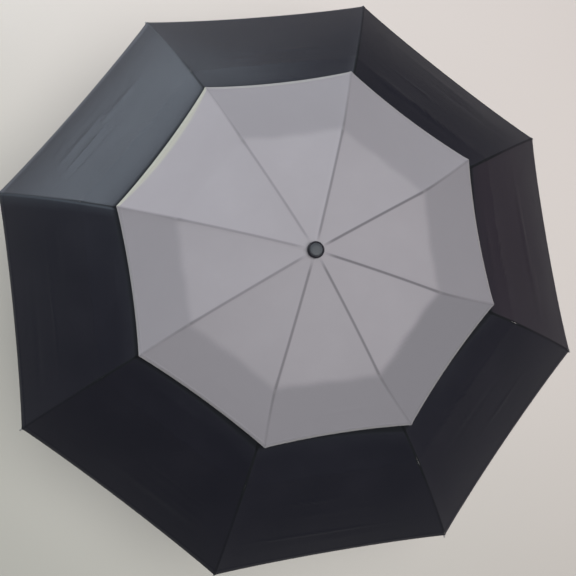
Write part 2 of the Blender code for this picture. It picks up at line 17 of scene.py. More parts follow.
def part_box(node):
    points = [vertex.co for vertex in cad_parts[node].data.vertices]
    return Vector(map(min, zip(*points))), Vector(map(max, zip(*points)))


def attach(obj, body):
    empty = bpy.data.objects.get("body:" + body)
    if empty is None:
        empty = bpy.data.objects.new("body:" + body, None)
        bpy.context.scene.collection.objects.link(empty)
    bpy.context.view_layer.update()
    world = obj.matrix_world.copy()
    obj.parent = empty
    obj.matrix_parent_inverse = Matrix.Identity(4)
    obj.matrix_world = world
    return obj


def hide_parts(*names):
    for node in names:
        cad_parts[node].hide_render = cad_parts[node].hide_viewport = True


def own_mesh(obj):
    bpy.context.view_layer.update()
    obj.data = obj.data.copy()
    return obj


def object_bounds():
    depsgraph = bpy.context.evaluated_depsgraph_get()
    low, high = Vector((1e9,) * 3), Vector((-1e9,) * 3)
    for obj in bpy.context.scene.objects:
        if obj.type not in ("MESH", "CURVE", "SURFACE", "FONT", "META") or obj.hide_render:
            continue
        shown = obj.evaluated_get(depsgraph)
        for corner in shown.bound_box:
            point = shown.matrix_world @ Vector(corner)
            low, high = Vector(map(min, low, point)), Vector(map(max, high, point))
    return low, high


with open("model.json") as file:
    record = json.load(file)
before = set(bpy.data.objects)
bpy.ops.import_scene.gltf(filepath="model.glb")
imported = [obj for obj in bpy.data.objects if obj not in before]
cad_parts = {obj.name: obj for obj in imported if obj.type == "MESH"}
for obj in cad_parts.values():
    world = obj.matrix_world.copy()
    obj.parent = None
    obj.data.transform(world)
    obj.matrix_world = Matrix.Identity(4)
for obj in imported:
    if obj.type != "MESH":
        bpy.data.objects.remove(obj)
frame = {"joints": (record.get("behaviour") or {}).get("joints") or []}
cad_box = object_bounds()

# %% [markdown]
# ## The camera
#
# The photo looks down on the umbrella from a little to one side, so the far hem is smaller than the
# near one. The place and the three directions were found by matching the black corners, the seams
# and the cap. The picture is square, so one focal length in pixels gives the lens.

# %% Camera
SENSOR = 36.0
PICTURE_SIZE = 576
FOCAL_PIXELS = 730.0
CAMERA_PLACE = Vector((-0.1131, -0.2184, 1.6348))
CAMERA_RIGHT = Vector((0.9609, 0.2519, 0.1148))
CAMERA_FORWARD = Vector((0.0810, 0.1406, -0.9868))


def add_object(name, data):
    """Put a mesh, lamp or camera into the scene, at the origin."""
    made = bpy.data.objects.new(name, data)
    bpy.context.scene.collection.objects.link(made)
    return made


def make_camera():
    """A camera whose columns are right, up and backwards, made square to each other."""
    forward = CAMERA_FORWARD.normalized()
    right = (CAMERA_RIGHT - CAMERA_RIGHT.dot(forward) * forward).normalized()
    up = right.cross(forward)
    lens = bpy.data.cameras.new("photo_camera")
    lens.sensor_width = SENSOR
    lens.lens = FOCAL_PIXELS / PICTURE_SIZE * SENSOR
    lens.clip_end = 50
    camera = add_object("photo_camera", lens)
    turn = Matrix((right, up, -forward)).transposed().to_4x4()
    camera.matrix_world = Matrix.Translation(CAMERA_PLACE) @ turn
    bpy.context.scene.camera = camera
    return camera


camera = make_camera()
print("lens:", round(camera.data.lens, 2), "mm")

# %% [markdown]
# ## Sizes
#
# A rib is three bars that lie on one circular arc when the umbrella is open. The joints of the
# packed model say where the arc starts and where its knuckles are, and the arc's two end slopes
# give its bend. Everything that the cloth needs follows from these.

# %% Sizes from the joints
joints = {joint["name"]: joint for joint in frame["joints"]}
RIBS = sum(name.startswith("crown_hinge") for name in joints)
HINGE_RADIUS, _, CROWN_Z = joints["crown_hinge_1"]["pos_m"]
INNER_KNUCKLE = joints["inner_knuckle_1"]["pos_m"][0]
OUTER_KNUCKLE = joints["outer_knuckle_1"]["pos_m"][0]
TIP_BALL = 0.0024
RIB_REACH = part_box("outer_rib_1")[1].x - TIP_BALL
CROWN_SLOPE = math.radians(9.0)
TIP_SLOPE = math.radians(44.5)
BEND = (RIB_REACH - HINGE_RADIUS) / (math.sin(TIP_SLOPE) - math.sin(CROWN_SLOPE))
PITCH = 2 * math.pi / RIBS
print("ribs:", RIBS, "reach:", round(RIB_REACH, 4), "bend radius:", round(BEND, 3))

# %% [markdown]
# ## The shape of the cloth
#
# Each canopy is eight gores sewn together along the ribs. Pulled tight, a gore runs almost straight
# from rib to rib, dips a little halfway and draws in at its hem. So one formula gives both
# canopies: a straight chord between two ribs, drawn in and lowered by a bow that is 0 on the ribs
# and 1 halfway between them. The grey rim is free of the ribs, so its corners don't lie exactly
# over them: each strays a little outwards and sideways, from nothing at the inner knuckle.

# %% Heights of the two canopies over a rib
CLOTH_GAP = 0.0001
CLOTH_THICKNESS = 0.0004
LOWER_LIFT = 0.0036
UPPER_LIFT = 0.0050
UPPER_RADIUS = 0.3110
LOWER_RADIUS = RIB_REACH - 0.0060
RIM_RISE, RIM_POWER = 0.0110, 1.2
CROWN_RISE, CROWN_REACH = 0.0020, 0.0450
DIP_SHARE = 0.012
SCALLOP_POWER = 4
STRAY_OUT = np.array([0.010, 0.019, 0.022, 0.019, 0.004, -0.004, -0.005, 0.003])
STRAY_SIDE = np.array([0.012, 0.012, 0.007, 0.001, 0.000, 0.002, 0.010, 0.011])
STRAY_POWER = 1.5
NO_STRAY = np.zeros(RIBS)
STEM_HOLE = 0.0040
NORMAL_STEP = 0.0004


def arc_sine(radius):
    """Sine of the rib's slope: it grows evenly with the distance from the shaft."""
    return math.sin(CROWN_SLOPE) + (np.maximum(radius, HINGE_RADIUS) - HINGE_RADIUS) / BEND


def arc_height(radius):
    """Height of the rib arc over the crown's hinges: bend radius times the change in cosine."""
    cosine = np.sqrt(1 - arc_sine(radius) ** 2)
    inside = np.maximum(HINGE_RADIUS - radius, 0) * math.tan(CROWN_SLOPE)
    return BEND * (cosine - math.cos(CROWN_SLOPE)) + inside


def upper_height(radius):
    """The grey cloth: a set lift, a swell under the cap and a rim that leaves the rib line."""
    swell = CROWN_RISE * np.maximum(0, 1 - radius / CROWN_REACH) ** 2
    past = np.maximum(0, radius - INNER_KNUCKLE) / (UPPER_RADIUS - INNER_KNUCKLE)
    return arc_height(radius) + UPPER_LIFT + swell + RIM_RISE * past ** RIM_POWER


def lower_height(radius):
    """The black cloth: a lift square to the rib."""
    return arc_height(radius) + LOWER_LIFT / np.sqrt(1 - arc_sine(radius) ** 2)


CANOPIES = {
    "upper": {"height": upper_height, "inner": STEM_HOLE, "outer": UPPER_RADIUS,
              "scallops": (0.0, 0.014), "hem": 0.0070, "curl": 0.0022, "seed": 11,
              "crease": (0.0, 0.0003), "swell": 0.0002, "knuckle": INNER_KNUCKLE,
              "ridge": 0.0005, "gather": 0.00025, "stray": (STRAY_OUT, STRAY_SIDE)},
    "lower": {"height": lower_height, "inner": INNER_KNUCKLE, "outer": LOWER_RADIUS,
              "scallops": (0.006, 0.005), "hem": 0.0100, "curl": 0.0026, "seed": 23,
              "crease": (-0.0007, 0.0012), "swell": 0.0016, "knuckle": OUTER_KNUCKLE,
              "ridge": 0.0022, "gather": 0.00020, "stray": (NO_STRAY, NO_STRAY)},
}


def bare_gore(canopy, radius, gore, share):
    """Point = (chord between two rib lines at this radius) x (1 - scallop x bow), lowered by
    dip x bow. Past the knuckle each rib line strays by its rim's stray x (share of the way to
    the rim) ^ power."""
    out = (radius - canopy["inner"]) / (canopy["outer"] - canopy["inner"])
    near, far = canopy["scallops"]
    scallop = near + (far - near) * np.clip(out, 0, None) ** SCALLOP_POWER
    bow = 4 * share * (1 - share)
    drawn = 1 - scallop * bow
    past = np.clip((radius - canopy["knuckle"]) / (canopy["outer"] - canopy["knuckle"]), 0, None)
    eased = past ** STRAY_POWER
    x = y = reach = 0
    for rib, weight in ((gore, (1 - share) * drawn), (gore + 1, share * drawn)):
        turn = rib * PITCH
        out, side = (stray[rib.astype(int) % RIBS] * eased for stray in canopy["stray"])
        x = x + weight * ((radius + out) * np.cos(turn) - side * np.sin(turn))
        y = y + weight * ((radius + out) * np.sin(turn) + side * np.cos(turn))
        reach = reach + weight * (radius + out)
    z = CROWN_Z + canopy["height"](reach) - DIP_SHARE * radius * bow
    return np.stack([x, y, z], axis=-1)


def normals_of(surface, radius, gore, share):
    """Cross product of the two slopes of a surface, with the share kept inside its own gore."""
    low, high = (np.clip(share + step, 0, 1) for step in (-NORMAL_STEP, NORMAL_STEP))
    across = surface(radius, gore, high) - surface(radius, gore, low)
    along = surface(radius + NORMAL_STEP, gore, share) - surface(radius - NORMAL_STEP, gore, share)
    normal = np.cross(along, across)
    return normal / np.linalg.norm(normal, axis=-1, keepdims=True)


print("bow of the black hem at mid-gore:", round(LOWER_RADIUS * DIP_SHARE * 1000, 1), "mm")

# %% [markdown]
# ## Seams, hems and folds
#
# Tight cloth isn't smooth. The seam over each rib is a fine groove beside a doubled strip, the hem
# is turned under and curls down, and the umbrella keeps the creases of being folded: the strongest
# cross the gores from knuckle to knuckle. These are small heights added square to the cloth. The
# creases are drawn from a seeded list, so each run gives the same cloth.

# %% Relief on the cloth
SEAM_GROOVE, SEAM_GROOVE_WIDTH = 0.00035, 0.0007
SEAM_STRIP, SEAM_STRIP_WIDTH = 0.00030, 0.0040
HEM_STEP, HEM_STEP_BLUR = 0.00035, 0.0004
CREASES_PER_GORE = 5
CREASE_ZONE, CREASE_LEAN, CREASE_WIDTH = (0.35, 0.93), 0.010, (0.0025, 0.0080)
CREASE_MIDDLE, CREASE_LENGTH = (0.25, 0.75), (0.10, 0.28)
SWELLS = 3
RIDGE_REACH, RIDGE_ON_RIB = 0.020, 0.2
PUCKER, PUCKER_SIZE = 0.0005, 0.0040
GATHER_PITCH, GATHER_IN, GATHER_ALONG = 0.0110, 0.022, 0.016


def crease_table(canopy):
    """For each gore, creases as radius, lean, height, width, middle and length."""
    draw = np.random.default_rng(canopy["seed"])
    span = canopy["outer"] - canopy["inner"]
    shape = (RIBS, CREASES_PER_GORE)
    return {
        "radius": canopy["inner"] + span * draw.uniform(*CREASE_ZONE, shape),
        "lean": draw.uniform(-CREASE_LEAN, CREASE_LEAN, shape),
        "height": draw.uniform(*canopy["crease"], shape),
        "width": draw.uniform(*CREASE_WIDTH, shape),
        "middle": draw.uniform(*CREASE_MIDDLE, shape),
        "length": draw.uniform(*CREASE_LENGTH, shape),
        "swell": draw.uniform(-canopy["swell"], canopy["swell"], (RIBS, SWELLS)),
    }


for canopy in CANOPIES.values():
    canopy["creases"] = crease_table(canopy)


def relief(canopy, radius, gore, share):
    """Height over the bare gore: groove + strip - hem curl + creases + slow swells + a ridge that
    joins the knuckles, because the real ribs are a little kinked there, with a pucker on each, and
    small gathers that fan out from the corners of the hem."""
    chord = 2 * radius * math.sin(PITCH / 2)
    from_first = share * chord
    from_rib = np.minimum(share, 1 - share) * chord
    bow = 4 * share * (1 - share)
    groove = -SEAM_GROOVE * np.exp(-(from_rib / SEAM_GROOVE_WIDTH) ** 2)
    strip = SEAM_STRIP * np.exp(-(from_first / SEAM_STRIP_WIDTH) ** 4)
    to_hem = canopy["outer"] - radius
    past = np.clip(1 - to_hem / canopy["hem"], 0, 1)
    curl = -canopy["curl"] * past ** 2 * np.sqrt(np.clip(bow, 0, 1))
    inside_hem = np.clip((to_hem - canopy["hem"]) / HEM_STEP_BLUR, -50, 50)
    step = HEM_STEP / (1 + np.exp(inside_hem))
    total = groove + strip + curl + step
    rows = canopy["creases"]
    g = gore.astype(int) % RIBS
    for i in range(CREASES_PER_GORE):
        line = rows["radius"][g, i] + rows["lean"][g, i] * (share - 0.5)
        near = np.exp(-((radius - line) / rows["width"][g, i]) ** 2)
        window = np.exp(-((share - rows["middle"][g, i]) / rows["length"][g, i]) ** 2)
        total = total + rows["height"][g, i] * near * window * bow
    from_knuckle = np.abs(radius - canopy["knuckle"])
    kinked = RIDGE_ON_RIB + (1 - RIDGE_ON_RIB) * bow
    total = total + canopy["ridge"] * np.exp(-from_knuckle / RIDGE_REACH) * kinked
    away = (from_knuckle / PUCKER_SIZE) ** 2 + (from_rib / PUCKER_SIZE) ** 2
    total = total + PUCKER * np.exp(-away)
    fan = np.cos(2 * math.pi * from_rib / GATHER_PITCH)
    fade = np.exp(-np.abs(to_hem) / GATHER_IN - from_rib / GATHER_ALONG)
    total = total + canopy["gather"] * fan * fade
    out = (radius - canopy["inner"]) / (canopy["outer"] - canopy["inner"])
    for i in range(SWELLS):
        wave = np.sin((i + 1) * math.pi * np.clip(out, 0, 1))
        total = total + rows["swell"][g, i] * wave * bow ** 2
    return total


def sewn_gore(canopy):
    """The surface with its relief, as a function of radius, gore and share."""
    def bare(radius, gore, share):
        return bare_gore(canopy, radius, gore, share)

    def sewn(radius, gore, share):
        normal = normals_of(bare, radius, gore, share)
        return bare(radius, gore, share) + normal * relief(canopy, radius, gore, share)[..., None]

    return sewn


print("creases:", CREASES_PER_GORE * RIBS * len(CANOPIES))

# %% [markdown]
# ## Shader sums
#
# A finish is easiest to read as a sum. This small class wraps a socket of the shader, so that
# `1 - mask * 0.2` in Python adds the Math nodes for it. Any other node comes from one method.

# %% Wires and finishes
class Wire:
    """A shader socket that takes part in Python arithmetic."""

    def __init__(self, finish, socket):
        self.finish, self.socket = finish, socket

    def join(self, operation, first, second):
        return self.finish.node("Math", {"operation": operation}, {0: first, 1: second})

    def __add__(self, other):
        return self.join("ADD", self, other)

    def __sub__(self, other):
        return self.join("SUBTRACT", self, other)

    def __rsub__(self, other):
        return self.join("SUBTRACT", other, self)

    def __mul__(self, other):
        return self.join("MULTIPLY", self, other)

    def through(self, operation):
        """The wire after a Math node that takes one number, such as a sine."""
        return self.finish.node("Math", {"operation": operation}, {0: self})

    __radd__ = __add__
    __rmul__ = __mul__


class Finish:
    """A material with one Principled shader. Fixed values are set on its own sockets."""

    def __init__(self, name, **fixed):
        self.material = bpy.data.materials.new(name)
        self.material.use_nodes = True
        self.tree = self.material.node_tree
        self.shader = self.tree.nodes["Principled BSDF"]
        for socket, value in fixed.items():
            self.shader.inputs[socket.replace("_", " ")].default_value = value

    def node(self, kind, settings=None, inputs=None, output=0):
        """Add a shader node: its settings first, then the values or wires of its sockets."""
        made = self.tree.nodes.new("ShaderNode" + kind)
        for name, value in (settings or {}).items():
            if name == "stops":
                for number, (place, colour) in enumerate(value):
                    stops = made.color_ramp.elements
                    stop = stops[number] if number < 2 else stops.new(place)
                    stop.position, stop.color = place, colour
            else:
                setattr(made, name, value)
        for name, value in (inputs or {}).items():
            if isinstance(value, Wire):
                self.tree.links.new(value.socket, made.inputs[name])
            else:
                made.inputs[name].default_value = value
        return Wire(self, made.outputs[output])

    def attribute(self, name):
        """A number that the mesh carries at each point."""
        return self.node("Attribute", {"attribute_name": name}, output="Fac")

    def uv(self, name):
        """A place on one of the mesh's UV maps, which are all in metres."""
        return self.node("UVMap", {"uv_map": name})

    def noise(self, place, scale, detail=3.0):
        """Cloudy noise between 0 and 1."""
        return self.node("TexNoise", None, {"Vector": place, "Scale": scale, "Detail": detail})

    def bump(self, height, distance, strength=0.5):
        """A normal that leans as the height changes."""
        return self.node("Bump", None, {"Strength": strength, "Distance": distance,
                                        "Height": height})

    def ray(self, kind):
        """1 for one kind of ray and 0 for the others."""
        return self.node("LightPath", output=f"Is {kind} Ray")

    def blur_step(self, value, start, end):
        """0 before start, 1 after end, and a soft slope between."""
        return self.node("MapRange", {"interpolation_type": "SMOOTHSTEP"},
                         {"Value": value, "From Min": start, "From Max": end})

    def mix(self, factor, first, second):
        """A colour between two colours."""
        return self.node("Mix", {"data_type": "RGBA"}, {0: factor, 6: first, 7: second}, output=2)

    def feed(self, **sockets):
        """Join wires to the shader's own sockets."""
        for socket, wire in sockets.items():
            self.tree.links.new(wire.socket, self.shader.inputs[socket.replace("_", " ")])
        return self.material

    def cover(self, wire):
        """Send a shader to the material's output."""
        self.tree.links.new(wire.socket, self.tree.nodes["Material Output"].inputs["Surface"])


def tinted(colour, factor):
    """A colour made paler or darker by one factor."""
    return tuple(channel * factor for channel in colour[:3]) + (1.0,)


print("sums of wires:", ", ".join(name for name in vars(Wire) if name.startswith("__r")))

# %% [markdown]
# ## The cloth's finish
#
# Both canopies are a plain-woven polyester. The grey one is matt, and its outer ring, where the
# black cloth lies under it, gets a painted shade. The black one has a tight, slightly shiny weave,
# so it is nearly black where it faces the room and blue-grey where it mirrors the window. Each
# point of the cloth carries its distance to the seam and to the hem, and how much painted shade
# and painted highlight lies on it.

# %% Cloth finishes
GREY = (0.345, 0.330, 0.355, 1.0)
# Painted shade: the grey cloth's outer ring, darker where the black cloth lies under it.
GREY_PAINTED_RING_SHADE = (0.222, 0.216, 0.236, 1.0)
# Painted shade in the grey seams and at the knuckles; the stitches' thread takes this colour too.
GREY_PAINTED_SHADE_AND_THREAD = (0.170, 0.163, 0.180, 1.0)
# Painted highlight on the grey hem.
GREY_HEM_HIGHLIGHT = (0.430, 0.432, 0.372, 1.0)
# Painted highlight just past a knuckle on the grey cloth.
GREY_PAINTED_HIGHLIGHT = (0.430, 0.420, 0.430, 1.0)
BLACK = (0.0104, 0.0098, 0.0155, 1.0)
BLACK_WORN = (0.0140, 0.0130, 0.0195, 1.0)
# Painted sheen on the black hem.
BLACK_HEM_SHEEN = (0.075, 0.078, 0.095, 1.0)
# Painted shade in the black seams, at the knuckles and just past the grey rim.
BLACK_PAINTED_SHADE = (0.0030, 0.0028, 0.0036, 1.0)
# Painted highlight past a knuckle and beside one seam on the black cloth.
BLACK_PAINTED_HIGHLIGHT = (0.060, 0.070, 0.085, 1.0)
THREAD_PITCH, WEAVE_DEPTH = 0.00055, 0.0002
SEAM_EDGE = (0.0006, 0.0034)
STITCH_PITCH, STITCH_EDGE, STITCH_ENDS = 0.0026, (0.0001, 0.0004), (-0.2, 0.2)
GREY_STITCHES, BLACK_STITCHES = 0.0058, 0.0085
RIM_NEAR, RIM_FAR = (0.003, 0.012), (0.003, 0.040)


def weave(finish, strength):
    """Two crossed sine waves of the thread's pitch, with a slow unevenness, as a bump."""
    cloth = finish.uv("cloth")
    turns = 2 * math.pi / THREAD_PITCH
    across, along = (finish.node("SeparateXYZ", None, {0: cloth}, axis) for axis in "XY")
    warp, weft = ((way * turns).through("SINE") for way in (across, along))
    slow = finish.noise(cloth, 60.0)
    return finish.bump(warp * weft * 0.5 + slow * 3, WEAVE_DEPTH, strength)


def cloth_tint(finish, first, second, scale):
    """A slow change between two colours, as cloth has from handling and light."""
    slow = finish.noise(finish.uv("cloth"), scale, 4.0)
    return finish.mix(finish.blur_step(slow, 0.35, 0.75), first, second)


def painted_seam_shade(finish):
    """Painted shade along a seam: 1 on its groove and 0 a few mm beside it, times the seam's
    strength, which fades past the knuckle.
    """
    line = 1 - finish.blur_step(finish.attribute("from_seam"), *SEAM_EDGE)
    return line * finish.attribute("seam_shade")


def stitch_mask(finish, offset):
    """Short dashes of thread on a line that keeps one distance from the hem."""
    gap = (finish.attribute("to_hem") - offset).through("ABSOLUTE")
    line = 1 - finish.blur_step(gap, *STITCH_EDGE)
    wave = (finish.attribute("along_edge") * (2 * math.pi / STITCH_PITCH)).through("SINE")
    return line * finish.blur_step(wave, *STITCH_ENDS)


def marked(finish, colour, marks):
    """Lay marks over a colour one after another: each has a mask, a strength and a colour."""
    for mask, strength, over in marks:
        colour = finish.mix(mask * strength, colour, over)
    return colour


def grey_cloth():
    """Matt cloth with painted shade over the black one, in its seams and at its knuckles, and
    painted highlights at its turned hem and knuckles.
    """
    finish = Finish("grey_cloth", Roughness=0.78, Sheen_Weight=0.15, Sheen_Roughness=0.5,
                    Specular_IOR_Level=0.35)
    colour = marked(finish, cloth_tint(finish, GREY, tinted(GREY, 1.05), 9.0), [
        (finish.attribute("ring"), 1.0, GREY_PAINTED_RING_SHADE),
        (finish.attribute("hem_light"), 0.9, GREY_HEM_HIGHLIGHT),
        (painted_seam_shade(finish), 1.0, GREY_PAINTED_SHADE_AND_THREAD),
        (finish.attribute("knuckle_dark"), 0.40, GREY_PAINTED_SHADE_AND_THREAD),
        (finish.attribute("knuckle_light"), 0.2, GREY_PAINTED_HIGHLIGHT),
        (stitch_mask(finish, GREY_STITCHES), 0.4, GREY_PAINTED_SHADE_AND_THREAD)])
    return finish.feed(Base_Color=colour, Normal=weave(finish, 0.25))


def black_cloth():
    """Tight, slightly shiny cloth, duller in its seams and in the shade of the grey rim, with
    painted shade in its seams, at its knuckles and just past the grey rim, a painted sheen on its
    hem and painted highlights at a seam and its knuckles.
    """
    finish = Finish("black_cloth", Specular_IOR_Level=0.44, Specular_Tint=(0.80, 0.90, 1.0, 1.0))
    # Painted shadow on the black cloth just past the grey rim; the same band is also made duller.
    painted_rim_shadow, rim_shade = (1 - finish.blur_step(finish.attribute("past_rim"), *edge)
                           for edge in (RIM_NEAR, RIM_FAR))
    colour = marked(finish, cloth_tint(finish, BLACK, BLACK_WORN, 7.0), [
        (finish.attribute("hem_band"), 1.0, BLACK_HEM_SHEEN),
        (painted_seam_shade(finish), 1.5, BLACK_PAINTED_SHADE),
        (finish.attribute("knuckle_dark"), 0.6, BLACK_PAINTED_SHADE),
        (finish.attribute("knuckle_light"), 0.08, BLACK_PAINTED_HIGHLIGHT),
        (finish.attribute("seam_light"), 1.0, BLACK_PAINTED_HIGHLIGHT),
        (stitch_mask(finish, BLACK_STITCHES), 0.5, BLACK_WORN),
        (painted_rim_shadow, 0.85, BLACK_PAINTED_SHADE)])
    patches = finish.noise(finish.uv("cloth"), 14.0, 5.0)
    dull = painted_rim_shadow * 0.40 + rim_shade * 0.10 + painted_seam_shade(finish) * 0.5
    return finish.feed(Base_Color=colour, Roughness=patches * 0.14 + 0.29 + dull,
                       Normal=weave(finish, 0.3))


FABRICS = {"upper": grey_cloth(), "lower": black_cloth()}
print("cloth finishes:", ", ".join(m.name for m in FABRICS.values()))

# %% [markdown]
# ## Cutting the canopies so that they can fold
#
# When the umbrella shuts, each bar swings on its own hinge and the cloth between the ribs falls
# into pleats. So each canopy is cut along the ribs, halfway between them, and square to each
# sloping bar at its knuckle, where the cut works as a hinge. Open, the edges of neighbouring
# pieces are the same points with the same normals, so the canopy reads as one sheet.

# %% Grids on half a wedge
HALF_COLUMNS = 15
STRIP_COLUMNS = 5
STRIP, STRIP_SHARE = 0.0048, 0.2
HEM_ZONE_SHARE = 1.4
HEM_ROWS = 12
VENT_SCALLOP = CANOPIES["lower"]["scallops"][0]


def column_shares(radius):
    """Shares from a rib to mid-gore: even steps over the seam's strip, then even to the middle."""
    chord = 2 * radius * math.sin(PITCH / 2)
    strip = np.minimum(STRIP / chord, STRIP_SHARE)
    near = np.linspace(0, 1, STRIP_COLUMNS + 1)[None, :] * strip[:, None]
    far = np.linspace(0, 1, HALF_COLUMNS - STRIP_COLUMNS + 1)[None, 1:]
    return np.concatenate([near, strip[:, None] + (0.5 - strip[:, None]) * far], axis=1)


def ring_radii(canopy, start, end, rows):
    """Even rows along a rib, and finer ones over the hem where the piece has it."""
    if end < canopy["outer"]:
        return np.linspace(start, end, rows), end
    turn = end - canopy["hem"] * HEM_ZONE_SHARE
    hem = np.linspace(turn, end, HEM_ROWS)[1:]
    return np.concatenate([np.linspace(start, turn, rows), hem]), turn


def half_wedge(canopy, start, end, rows, rib, side):
    """Radius, gore and share grids on one side of a rib. The row at a knuckle runs square to the
    sloping bar: its radius grows by 1 / (1 - (1 - cosine of the pitch) x share x cosine^2 of the
    slope), and rows between blend."""
    radii, turn = ring_radii(canopy, start, end, rows)
    shares = column_shares(radii)
    inwards = np.clip((radii - start) / (turn - start), 0, 1)[:, None]
    weight = inwards if end < canopy["outer"] else 1 - inwards
    level = 1 - arc_sine(end if end < canopy["outer"] else start) ** 2
    stretch = 1 / (1 - (1 - math.cos(PITCH)) * level * shares)
    radius = radii[:, None] * (1 + (stretch - 1) * weight)
    gore = np.full(shares.shape, rib if side > 0 else rib - 1)
    if side > 0:
        return radius, gore, shares
    return radius[:, ::-1], gore, 1 - shares[:, ::-1]


def border_quads(outer, inner):
    """Quads that close the shell along its four sides."""
    rim, under = (np.concatenate([skin[0, :], skin[1:, -1], skin[-1, -2::-1], skin[-2:0:-1, 0]])
                  for skin in (outer, inner))
    return np.stack([rim, np.roll(rim, -1), np.roll(under, -1), under], axis=1)


def grid_quads(numbers):
    """Quads of a grid of point numbers, whose front faces up where rows run outwards."""
    quads = [numbers[:-1, :-1], numbers[1:, :-1], numbers[1:, 1:], numbers[:-1, 1:]]
    return np.stack(quads, axis=-1)


print("columns per gore:", 2 * HALF_COLUMNS)

# %% [markdown]
# ## Marks on the cloth
#
# Where a seam or a hem lies is a matter of the sewing, so it is worked out with the shape and
# stored at each point, with the painted shade and painted highlights that go with it. The grey
# ring gets a painted shade, darkest where it lies close on the black cloth, and stays pale on the
# side where the vent gapes and light falls in between.

# %% Marks
# Per-gore strengths and sizes of the painted shade and painted highlights on the cloth.
RING_SHADE = np.array([0.66, 0.49, 0.51, 0.05, 0.54, 0.60, 0.77, 1.00])
# Painted highlight on the grey hem, per gore, strongest on the gore towards the window.
PAINTED_HEM_HIGHLIGHT = np.array([0.20, 0.10, 0.30, 1.00, 0.20, 0.20, 0.20, 0.20])
PAINTED_HEM_HIGHLIGHT_REACH = np.array([0.0045, 0.0045, 0.0060, 0.0120, 0.0045, 0.0045, 0.0045, 0.0045])
# Painted shade along each seam, per rib.
SEAM_SHADE = np.array([1.00, 1.00, 0.75, 0.50, 0.55, 0.65, 0.80, 0.85])
# Painted highlight beside one seam of the black cloth.
PAINTED_SEAM_HIGHLIGHT = np.array([0.0, 0.0, 0.0, 0.0, 1.0, 0.0, 0.0, 0.0])
# Painted sheen on the black hem, per gore, strongest on the gore towards the window.
PAINTED_HEM_SHEEN = np.array([0.0, 0.0, 0.1, 0.7, 0.0, 0.0, 0.0, 0.0])
PAINTED_HEM_SHEEN_EDGES = (0.0012, 0.0024), (0.009, 0.011)
PAINTED_SEAM_HIGHLIGHT_EDGES = (0.0006, 0.0014), (0.0042, 0.0052)
PAINTED_HEM_HIGHLIGHT_AT_RIB, PAINTED_HEM_HIGHLIGHT_FADE = 0.35, (0.75, 1.2)
SEAM_START, SEAM_FADE, SEAM_FADE_REACH = (0.012, 0.036), 0.6, 0.07
# Sizes of the painted shade at each knuckle and of the painted highlight just past it.
KNUCKLE_PAINTED_SHADE, KNUCKLE_PAINTED_HIGHLIGHT, KNUCKLE_PAINTED_HIGHLIGHT_PAST = (0.0120, 0.0030), (0.0040, 0.0022), 0.005
VENT_EDGE = (-0.005, 0.011)
VENT_WAVES = ((0.0016, 5, 2.3), (0.0009, 17, 1))


def smooth(value, start, end):
    """0 before start, 1 after end: 3 t^2 - 2 t^3 between."""
    t = np.clip((value - start) / (end - start), 0, 1)
    return t * t * (3 - 2 * t)


def band(value, edges):
    """1 between two soft edges and 0 outside them."""
    rise, fall = edges
    return smooth(value, *rise) * (1 - smooth(value, *fall))


def spot(along, across, size):
    """1 at one point of a seam, fading by the size along it and the size across it."""
    return np.exp(-(along / size[0]) ** 2 - (across / size[1]) ** 2)


def cloth_marks(canopy, radius, gore, share):
    """Every mark of the cloth, painted shade and painted highlights among them, each as a number at
    each point.
    """
    chord = 2 * radius * math.sin(PITCH / 2)
    bow = 4 * share * (1 - share)
    g = gore.astype(int) % RIBS
    rib = (g + (share > 0.5)) % RIBS
    from_first = share * chord
    from_seam = np.minimum(share, 1 - share) * chord
    to_hem = canopy["outer"] - radius
    past_vent = radius - INNER_KNUCKLE * (1 - VENT_SCALLOP * bow)
    wave = sum(size * np.sin(pace * share + shift * g) for size, pace, shift in VENT_WAVES)
    past_knuckle = radius - canopy["knuckle"]
    fade_past_knuckle = 1 - SEAM_FADE * smooth(past_knuckle, 0, SEAM_FADE_REACH)
    stray = (1 - share) * STRAY_OUT[g] + share * STRAY_OUT[(g + 1) % RIBS]
    # Width of the painted highlight on the grey hem.
    light_reach = PAINTED_HEM_HIGHLIGHT_REACH[g] * (PAINTED_HEM_HIGHLIGHT_AT_RIB + (1 - PAINTED_HEM_HIGHLIGHT_AT_RIB) * bow)
    lit_edge = (light_reach * share_of_reach for share_of_reach in PAINTED_HEM_HIGHLIGHT_FADE)
    return {
        "from_seam": from_seam,
        "to_hem": to_hem,
        "along_edge": from_first - chord / 2,
        # Painted shade on the grey ring, per gore.
        "ring": RING_SHADE[g] * smooth(past_vent + wave, *VENT_EDGE),
        "hem_light": PAINTED_HEM_HIGHLIGHT[g] * (1 - smooth(to_hem, *lit_edge)),
        "hem_band": PAINTED_HEM_SHEEN[g] * band(to_hem, PAINTED_HEM_SHEEN_EDGES),
        "seam_light": PAINTED_SEAM_HIGHLIGHT[g] * band(from_first, PAINTED_SEAM_HIGHLIGHT_EDGES),
        "seam_shade": SEAM_SHADE[rib] * smooth(radius, *SEAM_START) * fade_past_knuckle,
        # Painted shade at each knuckle and a painted highlight just past it.
        "knuckle_dark": spot(past_knuckle, from_seam, KNUCKLE_PAINTED_SHADE),
        "knuckle_light": spot(past_knuckle - KNUCKLE_PAINTED_HIGHLIGHT_PAST, from_seam, KNUCKLE_PAINTED_HIGHLIGHT),
        "past_rim": radius - (UPPER_RADIUS + stray) * (1 - CANOPIES["upper"]["scallops"][1] * bow),
    }


